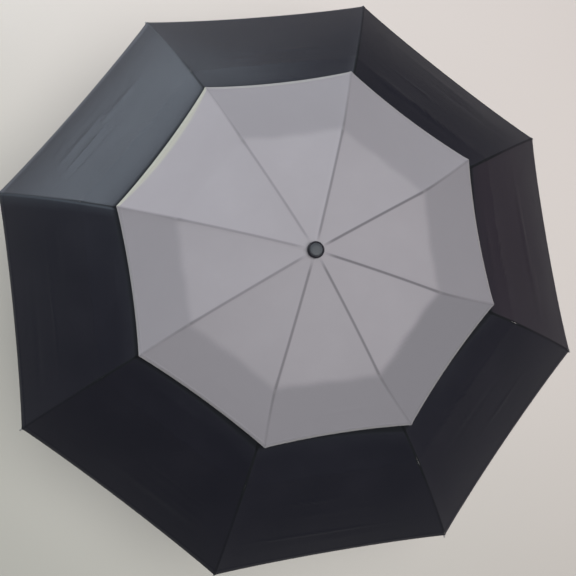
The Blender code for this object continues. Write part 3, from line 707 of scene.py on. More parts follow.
def add_cloth_marks(mesh, canopy, grid, faces):
    """Store the marks on both skins, and the cloth's own plane as a UV map."""
    radius, gore, share = grid
    marks = cloth_marks(canopy, radius, gore, share)
    for name, values in marks.items():
        mark = mesh.attributes.new(name, "FLOAT", "POINT")
        mark.data.foreach_set("value", np.tile(values.ravel(), 2).astype(np.float32))
    flat = np.stack([marks["along_edge"], radius], axis=-1).reshape(-1, 2)
    uv = np.tile(flat, (2, 1))[faces]
    mesh.uv_layers.new(name="cloth").data.foreach_set("uv", uv.astype(np.float32).ravel())


print("marks:", len(cloth_marks(CANOPIES["upper"], *(np.full((1, 1), v) for v in (0.2, 0, 0.3)))))

# %% [markdown]
# ## Half wedges
#
# A half wedge is a thin closed shell: an upper skin, the same skin a little lower and turned over,
# and a border of quads that joins them. Its upper skin carries the normals of the whole canopy.

# %% Half wedges
def offset_ways(normals, rib, side):
    """Directions in which the cloth gets its thickness: on the rib, square to the rib itself, so
    that both halves meet there."""
    turn = rib * PITCH
    across = np.array([-math.sin(turn), math.cos(turn), 0.0])
    ways = normals.copy()
    column = 0 if side > 0 else -1
    ways[:, column] -= (ways[:, column] @ across)[:, None] * across
    return ways / np.linalg.norm(ways, axis=-1, keepdims=True)


def half_wedge_mesh(name, canopy, grid, rib, side):
    """A thin closed shell on one side of a bar, with the normals of the whole canopy."""
    surface = sewn_gore(canopy)
    normals = normals_of(surface, *grid)
    ways = offset_ways(normals, rib, side)
    place = surface(*grid)
    outside = np.arange(place[..., 0].size).reshape(place.shape[:2])
    inside = outside + outside.size
    top = grid_quads(outside).reshape(-1, 4)
    border = border_quads(outside, inside)
    faces = np.concatenate([top, (top + outside.size)[:, ::-1], border])
    shell = np.concatenate([place + ways * (CLOTH_GAP + CLOTH_THICKNESS), place + ways * CLOTH_GAP])
    mesh = bpy.data.meshes.new(name)
    mesh.from_pydata(shell.reshape(-1, 3), [], faces)
    mesh.polygons.foreach_set("use_smooth", np.ones(len(faces), bool))
    flat = normals.reshape(-1, 3)
    corners = np.concatenate([flat[top].reshape(-1, 3), -flat[top[:, ::-1]].reshape(-1, 3),
                              np.zeros((border.size, 3))])
    mesh.normals_split_custom_set(corners.tolist())
    add_cloth_marks(mesh, canopy, grid, faces)
    return mesh


print("cloth thickness:", CLOTH_THICKNESS * 1000, "mm")

# %% [markdown]
# ## Flat sizes
#
# A half wedge is cut from a strip between two chords. Where it ends at a knuckle it has the slim
# triangle between the chord and the straight cut more, or less if it starts there.

# %% Cut patterns
OWN_STRAY = 0.75


def rib_arc(start, end):
    """Length on the rib between two radii."""
    return BEND * (math.asin(arc_sine(end)) - math.asin(arc_sine(start)))


def cut_pattern(start, end, hemmed):
    """Width, length and area of a flat half wedge: half the trapezoid between two chords. The
    triangle knuckle^2 x tangent x sine^2 / 2 of half the pitch is added or taken away, times the
    cosine of the slope there, because the cut is square to the sloping bar."""
    half = PITCH / 2
    near, far = (2 * radius * math.sin(half) for radius in (start, end))
    seam = rib_arc(start, end)
    height = math.sqrt(seam ** 2 - ((far - near) / 2) ** 2)
    knuckle = start if hemmed else end
    level = 1 - arc_sine(knuckle) ** 2
    slim = knuckle ** 2 * math.tan(half) * math.sin(half) ** 2 / 2 * math.sqrt(level)
    area = (near + far) / 4 * height + (-slim if hemmed else slim)
    width = end * math.sin(half) * math.cos(half)
    if not hemmed:
        width = width / (1 - math.sin(half) ** 2 * level)
    inboard = 0 if hemmed else start * math.sin(half) ** 2
    return width, seam + inboard, area


def hemmed_pattern(canopy, start, end, rib, side):
    """The pattern of a piece with a hem: lengthened by three quarters of its own rib's stray and
    one of the next rib's, widened by half the difference of their sideways strays, whose mean over
    the length is 1 / (power + 1), and less two thirds of the scallop's depth along the hem."""
    out, sideways = canopy["stray"]
    other = (rib + side) % RIBS
    longer = OWN_STRAY * out[rib] + (1 - OWN_STRAY) * out[other]
    wider = side * (sideways[other] - sideways[rib]) / 2
    width, length, area = cut_pattern(start, end + longer, True)
    area += wider * length / (STRAY_POWER + 1)
    area -= canopy["scallops"][1] * (end + longer) * width * 2 / 3
    return width + wider, length, area


print("rib's length along its arc:", round(rib_arc(HINGE_RADIUS, RIB_REACH) * 1000, 1), "mm")

# %% [markdown]
# ## Sewing
#
# Each half wedge rides on one bar. The grey rim is free of the main ribs, so it hangs from the top
# ribs. The three bars of a rib fold beside each other in lanes.

# %% Sewing the canopies
LANE = 0.0020
CAP_CLOTH_RADIUS = 0.0125
# Canopy, part, bar, start, end, rows, share of the width that is kept when folded, and its lane.
SECTIONS = [
    ("upper", "inner", "top_rib", CAP_CLOTH_RADIUS, INNER_KNUCKLE, 46, 0.010, 0.0),
    ("upper", "outer", "top_rib", INNER_KNUCKLE, UPPER_RADIUS, 26, 0.020, 0.0),
    ("lower", "inner", "main_rib", INNER_KNUCKLE, OUTER_KNUCKLE, 44, 0.0065, -LANE),
    ("lower", "outer", "outer_rib", OUTER_KNUCKLE, LOWER_RADIUS, 44, 0.050, 0.0),
]


def rib_place(radius, turn):
    """A point of the rib arc in space."""
    height = CROWN_Z + arc_height(radius)
    return np.array([radius * math.cos(turn), radius * math.sin(turn), height])


def slant(start, end, turn, side):
    """Direction from the bar to mid-gore, less its part along the bar."""
    other = turn + side * PITCH
    across = np.array([math.cos(other) - math.cos(turn), math.sin(other) - math.sin(turn), 0.0])
    bar = rib_place(end, turn) - rib_place(start, turn)
    bar = bar / np.linalg.norm(bar)
    square = across - (across @ bar) * bar
    return square / np.linalg.norm(square)


def sew_canopies():
    """Two halves on each bar."""
    pieces = {"upper": [], "lower": []}
    for key, part, bar, start, end, rows, keep, lane in SECTIONS:
        canopy = CANOPIES[key]
        hemmed = end >= canopy["outer"]
        for rib in range(RIBS):
            body, turn = f"{bar}_{rib + 1}", rib * PITCH
            beside = lane * np.array([-math.sin(turn), math.cos(turn), 0.0])
            for side, letter in ((-1, "a"), (1, "b")):
                name = f"{key}_cloth_{part}_{rib + 1}{letter}"
                width, length, area = cut_pattern(start, end, hemmed)
                if hemmed:
                    width, length, area = hemmed_pattern(canopy, start, end, rib, side)
                print(name, round(width, 3), "x", round(length, 3), "m,", round(area, 4), "m2")
                grid = half_wedge(canopy, start, end, rows, rib, side)
                mesh = half_wedge_mesh(name, canopy, grid, rib, side)
                mesh.materials.append(FABRICS[key])
                cloth = add_object(name, mesh)
                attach(cloth, body)
                tuple(slant(start, end, turn, side))
                tuple(rib_place((start + end) / 2, turn) + beside)
                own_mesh(cloth)
                pieces[key].append(cloth)
    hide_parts("upper_canopy")
    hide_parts("lower_canopy")
    return pieces


canopy_pieces = sew_canopies()
print("cloth pieces:", sum(len(group) for group in canopy_pieces.values()))

# %% [markdown]
# ## The middle of the grey cloth
#
# Under the cap the eight gores meet in a small round that never folds. It is a flat ring of cloth
# with a hole for the cap's stem, so it is swept round the shaft from the same formula. A grid that
# closes on itself serves for this ring and for every hard piece that follows.

# %% Closed grids
def ring_mesh(name, points, closed=False, flip=False, soft=True):
    """A mesh from rings of points. Its last ring meets its first, or else each end has a face."""
    rows, columns = points.shape[:2]
    numbers = np.arange(rows * columns).reshape(rows, columns)
    below = np.roll(numbers, -1, axis=0)
    after, after_below = (np.roll(ring, -1, axis=1) for ring in (numbers, below))
    quads = np.stack([numbers, below, after_below, after], axis=-1)
    order = -1 if flip else 1
    faces = (quads if closed else quads[:-1]).reshape(-1, 4)[:, ::order].tolist()
    if not closed:
        faces += [numbers[0, ::order].tolist(), numbers[-1, ::-order].tolist()]
    mesh = bpy.data.meshes.new(name)
    mesh.from_pydata(points.reshape(-1, 3), [], faces)
    mesh.polygons.foreach_set("use_smooth", np.full(len(faces), soft))
    return mesh


def add_piece(name, mesh, material, body, slot, nodes=()):
    """Put a finished mesh into the scene as one piece that rides on a body."""
    mesh.materials.append(material)
    piece = add_object(name, mesh)
    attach(piece, body)
    if nodes:
        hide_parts(*nodes)
    return piece


def add_run(mesh, along, around, name="run"):
    """A UV map from two lengths at each point, such as along the piece and round it."""
    run = np.stack(np.broadcast_arrays(along, around), axis=-1).reshape(-1, 2)
    corners = np.empty(len(mesh.loops), np.int32)
    mesh.loops.foreach_get("vertex_index", corners)
    mesh.uv_layers.new(name=name).data.foreach_set("uv", run[corners].astype(np.float32).ravel())


print("shared steps:", ring_mesh.__name__, add_piece.__name__, add_run.__name__)

# %% Cloth under the cap
CAP_CLOTH_COLUMNS = 64
CAP_CLOTH_ROWS = 6


def make_cap_cloth():
    """A ring of cloth whose rows run out over the top and back below, and meet at both edges."""
    canopy = CANOPIES["upper"]
    out = np.linspace(canopy["inner"], CAP_CLOTH_RADIUS, CAP_CLOTH_ROWS)
    radius = np.concatenate([out, out[::-1]])[:, None]
    lift = np.repeat([CLOTH_GAP + CLOTH_THICKNESS, CLOTH_GAP], out.size)[:, None]
    turn = np.linspace(0, 2 * math.pi, CAP_CLOTH_COLUMNS, endpoint=False)[None, :]
    gore = np.floor(turn / PITCH)
    place = bare_gore(canopy, *np.broadcast_arrays(radius, gore, turn / PITCH - gore))
    place[..., 2] += lift
    mesh = ring_mesh("upper_cloth_centre", place, closed=True)
    for name in ("from_seam", "to_hem"):
        far = np.ones(len(mesh.vertices), np.float32)
        mesh.attributes.new(name, "FLOAT", "POINT").data.foreach_set("value", far)
    add_run(mesh, place[..., 0], place[..., 1], "cloth")
    cloth = add_piece("upper_cloth_centre", mesh, FABRICS["upper"], "upper_tube", "grey_cloth")
    return cloth


cap_cloth = make_cap_cloth()
print("cloth under the cap:", len(cap_cloth.data.polygons), "faces")

# %% [markdown]
# ## Hard finishes
#
# A drawn tube has fine lines along its length, a moulded grip has a grain, and both get duller
# where hands and sliding parts touch them. These lines follow each piece, so they are drawn on the
# piece's own run: its length in one direction and the way round it in the other.

# %% Metal, plastic and rubber
FINE_GRAIN, MOULD_GRAIN = 0.00002, 0.00003
CAP_RIM_EDGE = (0.0092, 0.0101)


def stretched_noise(finish, coordinates, stretch, detail=3.0):
    """Noise on coordinates that are stretched first, which gives lines instead of spots."""
    long = finish.node("VectorMath", {"operation": "MULTIPLY"}, {0: coordinates, 1: stretch})
    return finish.noise(long, 1.0, detail)


def drawn_metal(name, colour, roughness, metallic=1.0, dull=0.75):
    """Metal with fine lines along its run and slow dull patches."""
    finish = Finish(name, Metallic=metallic)
    lines = stretched_noise(finish, finish.uv("run"), (60.0, 9000.0, 1.0))
    patches = stretched_noise(finish, finish.uv("run"), (90.0, 140.0, 1.0), 5.0)
    worn = finish.blur_step(patches, 0.42, 0.68)
    shade = finish.mix(worn * 0.7 + lines * 0.3, colour, tinted(colour, dull))
    return finish.feed(Base_Color=shade, Roughness=lines * 0.10 + worn * 0.12 + roughness,
                       Normal=finish.bump(lines, FINE_GRAIN))


def moulded(name, colour, roughness, grain=MOULD_GRAIN, scale=2200.0):
    """Moulded plastic: a fine even grain, slightly paler where it has been rubbed."""
    finish = Finish(name, Specular_IOR_Level=0.45)
    place = finish.node("TexCoord", None, None, "Object")
    pits = finish.noise(place, scale, 2.0)
    worn = finish.blur_step(finish.noise(place, 160.0, 5.0), 0.45, 0.70)
    shade = finish.mix(worn * 0.8 + pits * 0.2, colour, tinted(colour, 1.7))
    return finish.feed(Base_Color=shade, Roughness=pits * 0.14 + roughness - worn * 0.06,
                       Normal=finish.bump(pits, grain))


def glass_fibre():
    """Pultruded rod: dark resin over straight fibres, with a clear gloss."""
    finish = Finish("glass_fibre", Specular_IOR_Level=0.5)
    fibres = stretched_noise(finish, finish.uv("run"), (25.0, 14000.0, 1.0))
    shade = finish.mix(finish.blur_step(fibres, 0.40, 0.65), (0.016, 0.016, 0.017, 1.0),
                       (0.040, 0.040, 0.042, 1.0))
    return finish.feed(Base_Color=shade, Roughness=fibres * 0.12 + 0.24,
                       Normal=finish.bump(fibres, FINE_GRAIN, 0.3))


def cap_finish():
    """Dark grey moulding whose rim and groove hold more shade than its disc."""
    finish = Finish("cap_moulding", Specular_IOR_Level=0.3)
    place = finish.node("TexCoord", None, None, "Object")
    flat = finish.node("VectorMath", {"operation": "MULTIPLY"}, {0: place, 1: (1.0, 1.0, 0.0)})
    from_axis = finish.node("VectorMath", {"operation": "LENGTH"}, {0: flat}, "Value")
    rim = finish.blur_step(from_axis, *CAP_RIM_EDGE)
    pits = finish.noise(place, 1500.0)
    disc = finish.mix(pits, (0.034, 0.040, 0.048, 1.0), (0.058, 0.068, 0.080, 1.0))
    shade = finish.mix(rim, disc, (0.010, 0.010, 0.016, 1.0))
    return finish.feed(Base_Color=shade, Roughness=pits * 0.16 + 0.34,
                       Normal=finish.bump(pits, MOULD_GRAIN))


FINISHES = {
    "shaft": drawn_metal("shaft_steel", (0.60, 0.61, 0.63, 1.0), 0.16),
    "bright": drawn_metal("bright_metal", (0.66, 0.66, 0.68, 1.0), 0.10),
    "wire": drawn_metal("ring_wire", (0.52, 0.52, 0.54, 1.0), 0.22),
    "bar": drawn_metal("rib_steel", (0.115, 0.115, 0.125, 1.0), 0.30, 0.85),
    "rivet": drawn_metal("rivet_steel", (0.45, 0.45, 0.47, 1.0), 0.20),
    "rod": glass_fibre(),
    "tip": moulded("tip_moulding", (0.30, 0.30, 0.30, 1.0), 0.34),
    "plastic": moulded("black_moulding", (0.016, 0.016, 0.018, 1.0), 0.38),
    "grip": moulded("grip_rubber", (0.014, 0.014, 0.015, 1.0), 0.56, 0.00006, 1500.0),
    "button": moulded("button_moulding", (0.075, 0.080, 0.090, 1.0), 0.36),
    "thread": moulded("black_thread", (0.010, 0.009, 0.011, 1.0), 0.70, 0.00005, 3000.0),
    "cap": cap_finish(),
}
print("hard finishes:", len(FINISHES))

# %% [markdown]
# ## Turned pieces
#
# Tubes, collar, cap and grip are round about the shaft, so each is one outline swept in a circle.
# No real edge is perfectly sharp, and a small round is what catches the light, so every corner of
# an outline gives way to an arc. The arc's own normals are kept, and the flats stay flat.

# %% Outlines with rounded corners
ARC_STEPS = 4
ROUND_SEGMENTS = 64
POLE = 0.0002
EDGE = 0.00015


def filleted(corners, rounds):
    """Points and outward normals of arcs that touch both sides of each corner: the centre lies on
    the corner's bisector at round / sine of half its angle. The outline runs down its outer
    side."""
    corner = np.array(corners, float)
    rounds = np.broadcast_to(rounds, len(corner))[:, None]
    before, after = np.roll(corner, 1, axis=0) - corner, np.roll(corner, -1, axis=0) - corner
    before = before / np.linalg.norm(before, axis=1, keepdims=True)
    after = after / np.linalg.norm(after, axis=1, keepdims=True)
    half = np.arccos(np.clip((before * after).sum(axis=1), -1, 1))[:, None] / 2
    middle = before + after
    middle = middle / np.maximum(np.linalg.norm(middle, axis=1, keepdims=True), 1e-9)
    centre = corner + middle * rounds / np.sin(half)
    first = (corner + before * rounds / np.tan(half) - centre) / rounds
    last = (corner + after * rounds / np.tan(half) - centre) / rounds
    spread = np.maximum(math.pi - 2 * half, 1e-4)[:, None]
    t = np.linspace(0, 1, ARC_STEPS + 1)[None, :, None]
    way = np.sin((1 - t) * spread) * first[:, None] + np.sin(t * spread) * last[:, None]
    way = way / np.linalg.norm(way, axis=2, keepdims=True)
    points = centre[:, None] + way * rounds[:, None]
    turns_out = np.sign(before[:, 0] * after[:, 1] - before[:, 1] * after[:, 0])
    return points.reshape(-1, 2), (way * turns_out[:, None, None]).reshape(-1, 2)


def swept_round(name, points, normals, closed, relief=None):
    """Point = (radius x cosine, radius x sine, height) of the outline, all the way round."""
    turn = np.linspace(0, 2 * math.pi, ROUND_SEGMENTS, endpoint=False)
    radius, height = (np.repeat(points[:, i:i + 1], turn.size, axis=1) for i in (0, 1))
    if relief is not None:
        radius = radius + relief(radius, height, turn[None, :])
    place = np.stack([radius * np.cos(turn), radius * np.sin(turn), height], axis=-1)
    mesh = ring_mesh(name, place, closed)
    if relief is None:
        level = np.repeat(normals[:, :1], turn.size, axis=1)
        way = np.stack([level * np.cos(turn), level * np.sin(turn),
                        np.repeat(normals[:, 1:], turn.size, axis=1)], axis=-1)
        mesh.normals_split_custom_set_from_vertices(way.reshape(-1, 3).tolist())
    along = np.concatenate([[0], np.cumsum(np.linalg.norm(np.diff(points, axis=0), axis=1))])
    add_run(mesh, along[:, None], turn[None, :] * points.max())
    return mesh


def add_turned(name, corners, material, body, slot, nodes, rounds=EDGE, closed=False, relief=None):
    """One turned piece, in place of the plain one of the packed model."""
    points, normals = filleted(corners, rounds)
    if not closed:
        points, normals = points[ARC_STEPS:-ARC_STEPS], normals[ARC_STEPS:-ARC_STEPS]
    mesh = swept_round(name, points, normals, closed, relief)
    return add_piece(name, mesh, FINISHES[material], body, slot, nodes)


def heights_of(node):
    low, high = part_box(node)
    return low.z, high.z, high.x


print("arc points per corner:", ARC_STEPS + 1)

# %% [markdown]
# ## Shaft, handle and cap
#
# The shaft is three steel tubes; the lower two have a pressed ring groove near the mouth that
# guides the tube inside. The grip has shallow flutes, so that a wet hand holds it, under a bright
# collar. The cap is a disc inside a raised rim, with a groove between them that holds the shade.

# %% Shaft tubes
TUBE_WALL = 0.0005
GUIDE_DEPTH, GUIDE_DROP, GUIDE_HEIGHT, GUIDE_RAMP = 0.00012, 0.0060, 0.0022, 0.0008


def make_tube(name, body, guide):
    """A tube wall, with a pressed groove below its mouth where another tube slides in it."""
    low, high, radius = heights_of(name)
    inner = radius - TUBE_WALL
    corners = [(inner, high), (radius, high)]
    if guide:
        start = high - GUIDE_DROP
        end = start - GUIDE_HEIGHT
        pressed = radius - GUIDE_DEPTH
        corners += [(radius, start), (pressed, start - GUIDE_RAMP), (pressed, end + GUIDE_RAMP),
                    (radius, end)]
    corners += [(radius, low), (inner, low)]
    return add_turned(name + "_drawn", corners, "shaft", body, "shaft_steel", [name], closed=True)


tubes = [make_tube("shaft_lower_tube", "handle", True),
         make_tube("shaft_middle_tube", "middle_tube", True),
         make_tube("shaft_upper_tube", "upper_tube", False)]
print("tubes:", len(tubes))

# %% Handle
GRIP_WAIST, GRIP_BORE, GRIP_BORE_DEPTH, GRIP_ROUND = 0.0150, 0.0071, 0.0520, 0.0025
GRIP_RECESS, RECESS_DEPTH = 0.0128, 0.0030
FLUTES, FLUTE_DEPTH, FLUTE_REACH, FLUTE_FADE = 16, 0.00055, 0.0290, 0.0010
GRIP_TOP, GRIP_ROWS, OUTSIDE_SHARE = 0.0160, 34, 0.97
FINE_ROUND = 0.0001
COLLAR_CHAMFER, COLLAR_GROOVE, COLLAR_GROOVES = 0.0012, 0.00035, (2.2, 3.6)
DISH = 0.0004


def grip_flutes(radius, height, turn):
    """Depth of the flutes: a narrow cosine round the grip, faded out towards both ends."""
    outside = radius > GRIP_WAIST * OUTSIDE_SHARE
    fade = 1 / (1 + np.exp((np.abs(height) - FLUTE_REACH) / FLUTE_FADE))
    return -FLUTE_DEPTH * outside * fade * (0.5 + 0.5 * np.cos(FLUTES * turn)) ** 4


def make_grip():
    """The outer side is a slow cosine from the foot to the waist and from the waist to the top."""
    low, high, foot = heights_of("handle_grip")
    heights = np.linspace(high - GRIP_ROUND, low + GRIP_ROUND, GRIP_ROWS)
    ends = np.where(heights > 0, GRIP_TOP, foot)
    ease = 0.5 - 0.5 * np.cos(np.pi * np.clip(np.abs(heights) / (high - GRIP_ROUND), 0, 1))
    side = np.stack([GRIP_WAIST + (ends - GRIP_WAIST) * ease, heights], axis=-1)
    bore_floor, recess = high - GRIP_BORE_DEPTH, low + RECESS_DEPTH
    corners = ([(POLE, bore_floor), (GRIP_BORE, bore_floor), (GRIP_BORE, high),
                (GRIP_TOP - GRIP_ROUND, high)] + side.tolist()
               + [(foot - GRIP_ROUND, low), (GRIP_RECESS, low), (GRIP_RECESS, recess),
                  (POLE, recess)])
    return add_turned("handle_grip_fluted", corners, "grip", "handle", "grip", ["handle_grip"],
                      rounds=FINE_ROUND, relief=grip_flutes)


def make_collar():
    """A bright ring with two fine grooves."""
    low, high, radius = heights_of("handle_collar")
    step, groove = (high - low) / 6, COLLAR_GROOVE
    corners = [(GRIP_BORE, high), (radius - COLLAR_CHAMFER, high), (radius, high - COLLAR_CHAMFER)]
    for number in COLLAR_GROOVES:
        z = high - step * number
        corners += [(radius, z), (radius - groove, z - groove), (radius, z - 2 * groove)]
    corners += [(radius, low), (GRIP_BORE, low)]
    return add_turned("handle_collar_turned", corners, "bright", "handle", "bright_metal",
                      ["handle_collar"], rounds=FINE_ROUND, closed=True)


def make_end_cap():
    """A plug with a dished face and a fine ring."""
    low, high, radius = heights_of("handle_end_cap")
    corners = [(POLE, high), (radius, high), (radius, low + DISH), (radius - DISH, low),
               (radius * 0.80, low), (radius * 0.77, low + DISH), (radius * 0.72, low + DISH),
               (radius * 0.69, low), (radius * 0.35, low), (POLE, low + DISH)]
    return add_turned("handle_end_cap_dished", corners, "plastic", "handle", "plastic",
                      ["handle_end_cap"], rounds=FINE_ROUND)


handle_pieces = [make_grip(), make_collar(), make_end_cap()]
print("handle pieces:", len(handle_pieces))

# %% Cap, washer and ring wires
CAP_STEM, CAP_ROUND, WASHER_BORE = 0.0022, 0.0003, 0.0025
CAP_OUTLINE = [(POLE, 0.0062), (0.0058, 0.0060), (0.0091, 0.0054), (0.0096, 0.0046),
               (0.0101, 0.0046), (0.0105, 0.0052), (0.0114, 0.0049), (0.0124, 0.0036),
               (0.0130, 0.0018), (0.0130, 0.0), (CAP_STEM, 0.0)]
WIRE_RADIUS = 0.0006
WIRE_SIDES = 16


def make_cap():
    """The outline from the pole over the disc, the groove and the rim to the stem."""
    low, high, _ = heights_of("finial_cap")
    foot = high - CAP_OUTLINE[0][1]
    corners = [(r, foot + z) for r, z in CAP_OUTLINE] + [(CAP_STEM, low), (POLE, low)]
    rounds = np.array([FINE_ROUND] + [CAP_ROUND] * 8 + [FINE_ROUND] * 4)
    return add_turned("finial_cap_moulded", corners, "cap", "upper_tube", "cap", ["finial_cap"],
                      rounds=rounds)


def make_washer():
    """A flat ring between the cloth and the cap."""
    low, high, radius = heights_of("canopy_washer")
    corners = [(WASHER_BORE, high), (radius, high), (radius, low), (WASHER_BORE, low)]
    return add_turned("canopy_washer_moulded", corners, "plastic", "upper_tube", "plastic",
                      ["canopy_washer"], closed=True)


def make_ring_wire(node, body):
    """Round wire on a circle: outline = (ring radius + wire radius x cosine, - wire x sine)."""
    low, high, outside = heights_of(node)
    turn = np.linspace(0, 2 * math.pi, WIRE_SIDES, endpoint=False)
    normals = np.stack([np.cos(turn), -np.sin(turn)], axis=-1)
    points = np.array([outside - WIRE_RADIUS, (low + high) / 2]) + normals * WIRE_RADIUS
    mesh = swept_round(node + "_round", points, normals, True)
    return add_piece(node + "_round", mesh, FINISHES["wire"], body, "wire", [node])


top_pieces = [make_cap(), make_washer(), make_ring_wire("crown_ring_wire", "upper_tube"),
              make_ring_wire("runner_ring_wire", "runner")]
print("top pieces:", len(top_pieces))

# %% [markdown]
# ## Bars
#
# A top rib, a main rib and a stretcher are folded from strip steel: a channel that is open below,
# pressed flat to a round eye at each end. The outer rib is a thin glass-fibre rod with a moulded
# tip. Each is a section carried along the rib's arc, whose height and hollow change on the way.

# %% Paths of the bars
EYE = 0.0020
EYE_CLEAR = EYE * 1.3
LEAST_HALF = EYE * 0.1
BAR_HALF = 0.0013
BAR_SIDE = 0.0008
SHEET_METAL, CHAMFER = 0.00035, 0.00025
CHANNEL_DEPTH, FLAT_DEPTH = 0.0017, 0.00003
FLAT_END = 0.0045


def eye_steps(length, body_steps):
    """Lengths along a bar: close together over both eyes, even between them."""
    out = EYE * np.cos(np.linspace(0.12, math.pi / 2, 8))
    back = EYE * np.sin(np.linspace(0.2, math.pi / 2, 6))
    body = np.linspace(EYE_CLEAR, length - EYE_CLEAR, body_steps)
    return np.concatenate([-out, back, body, length - back[::-1], length + out[::-1]])


def bar_half_height(run, length, body):
    """The larger of the body's half height and the eye's circle: root of (eye^2 - distance^2)."""
    distance = np.minimum(np.abs(run), np.abs(length - run))
    circle = np.sqrt(np.maximum(EYE ** 2 - distance ** 2, 0))
    between = (run > 0) & (run < length)
    return np.maximum(circle, np.where(between, body, 0))


def arc_path(start, end, run):
    """Places and directions on the rib arc, straight past both of its ends."""
    first, last = (math.asin(arc_sine(r)) for r in (start, end))
    inside = np.clip(run, 0, BEND * (last - first))
    slope = first + inside / BEND
    place = np.stack([HINGE_RADIUS + BEND * (np.sin(slope) - math.sin(CROWN_SLOPE)),
                      CROWN_Z + BEND * (np.cos(slope) - math.cos(CROWN_SLOPE))], axis=-1)
    way = np.stack([np.cos(slope), -np.sin(slope)], axis=-1)
    return place + way * (run - inside)[:, None], way


def turned(radius, across, height, turn):
    """Points in space from a distance outwards, one sideways and a height, turned to a rib."""
    return np.stack([radius * math.cos(turn) - across * math.sin(turn),
                     radius * math.sin(turn) + across * math.cos(turn), height], axis=-1)


def carried(name, place, way, section, run, rib, lane, soft):
    """Point = place on the path + sideways x across + lift square to it, turned to its rib."""
    radius = place[:, None, 0] - section[..., 1] * way[:, None, 1]
    height = place[:, None, 1] + section[..., 1] * way[:, None, 0]
    points = turned(radius, section[..., 0] + lane, height, rib * PITCH)
    mesh = ring_mesh(name, points, flip=True, soft=soft)
    step = np.linalg.norm(np.diff(section, axis=1, append=section[:, :1]), axis=-1)
    add_run(mesh, run[:, None], np.cumsum(step, axis=1))
    return mesh


def channel_section(half, depth):
    """Ten points round a channel that is open below, with small chamfers at its upper edges."""
    t, w, c = BAR_SIDE, SHEET_METAL, CHAMFER
    top, low, roof = half, -half, -half + depth
    zero = np.zeros_like(half)
    across = np.array([t, t, t - c, c - t, -t, -t, w - t, w - t, t - w, t - w])
    lift = np.stack([low, top - c, top, top, top - c, low, low, roof, roof, low], axis=1)
    return np.stack([zero[:, None] + across, lift], axis=-1)


print("top rib's length:", round(rib_arc(HINGE_RADIUS, INNER_KNUCKLE) * 1000, 1), "mm")

# %% Channels, rods, tips and rivets
RIVET_HEAD, RIVET_RISE, RIVET_SHANK = 0.0013, 0.0005, 0.0007
ROD_HALF, ROD_END = 0.00115, 0.0009
TIP_SLEEVE, TIP_LENGTH, TIP_ROUND = 0.0013, 0.0075, 0.0019
ROUND_SIDES = 16


def channel_bar(name, rib, lane, length, path, node, body):
    """A channel whose hollow fades out where the strip is pressed flat to its eyes."""
    run = eye_steps(length, 26)
    half = np.maximum(bar_half_height(run, length, BAR_HALF), LEAST_HALF)
    from_end = np.minimum(run, length - run)
    ease = np.clip((from_end - EYE) / FLAT_END, 0, 1)
    depth = FLAT_DEPTH + CHANNEL_DEPTH * ease * ease * (3 - 2 * ease)
    place, way = path(run)
    mesh = carried(name, place, way, channel_section(half, depth), run, rib, lane, False)
    return add_piece(name, mesh, FINISHES["bar"], body, "rib_steel", [node])


def oval_section(across, lift):
    """Points round an oval whose two half widths change along the path."""
    turn = np.linspace(0, 2 * math.pi, ROUND_SIDES, endpoint=False)
    return np.stack([across[:, None] * np.cos(turn), lift[:, None] * np.sin(turn)], axis=-1)


def outer_rod(rib):
    """A rod that is pressed flat to an eye at its knuckle and tapers towards its tip."""
    length = rib_arc(OUTER_KNUCKLE, RIB_REACH)
    run = eye_steps(length, 30)
    run = run[run < length]
    taper = ROD_HALF + (ROD_END - ROD_HALF) * np.clip(run / length, 0, 1)
    eye = np.sqrt(np.maximum(EYE ** 2 - run ** 2, 0))
    lift = np.maximum(np.where(run > 0, np.maximum(eye, taper), eye), LEAST_HALF)
    flat = np.clip((run - EYE) / FLAT_END, 0, 1)
    across = BAR_SIDE + (taper - BAR_SIDE) * flat * flat * (3 - 2 * flat)
    place, way = arc_path(OUTER_KNUCKLE, RIB_REACH, run)
    name = f"outer_rod_{rib + 1}"
    mesh = carried(name, place, way, oval_section(across, lift), run, rib, 0.0, True)
    return add_piece(name, mesh, FINISHES["rod"], f"outer_rib_{rib + 1}", "rib_fibre",
                     [f"outer_rib_{rib + 1}"])


def rod_tip(rib):
    """A moulded sleeve that ends in a ball: radius = the larger of the sleeve and the ball."""
    length = rib_arc(OUTER_KNUCKLE, RIB_REACH)
    back = np.linspace(-TIP_LENGTH, -TIP_ROUND, 10)
    ball = -TIP_ROUND * np.cos(np.linspace(0.2, math.pi - 0.15, 14))
    run = np.concatenate([back, ball])
    inside = np.sqrt(np.maximum(TIP_ROUND ** 2 - run ** 2, 0))
    sleeve = TIP_SLEEVE * np.clip((run + TIP_LENGTH) / 0.0006 + 0.75, 0, 1)
    radius = np.maximum(inside, np.where(run < 0, sleeve, 0))
    place, way = arc_path(OUTER_KNUCKLE, RIB_REACH, length + run)
    name = f"rib_tip_{rib + 1}"
    mesh = carried(name, place, way, oval_section(radius, radius), run, rib, 0.0, True)
    return add_piece(name, mesh, FINISHES["tip"], f"outer_rib_{rib + 1}", "rib_fibre")


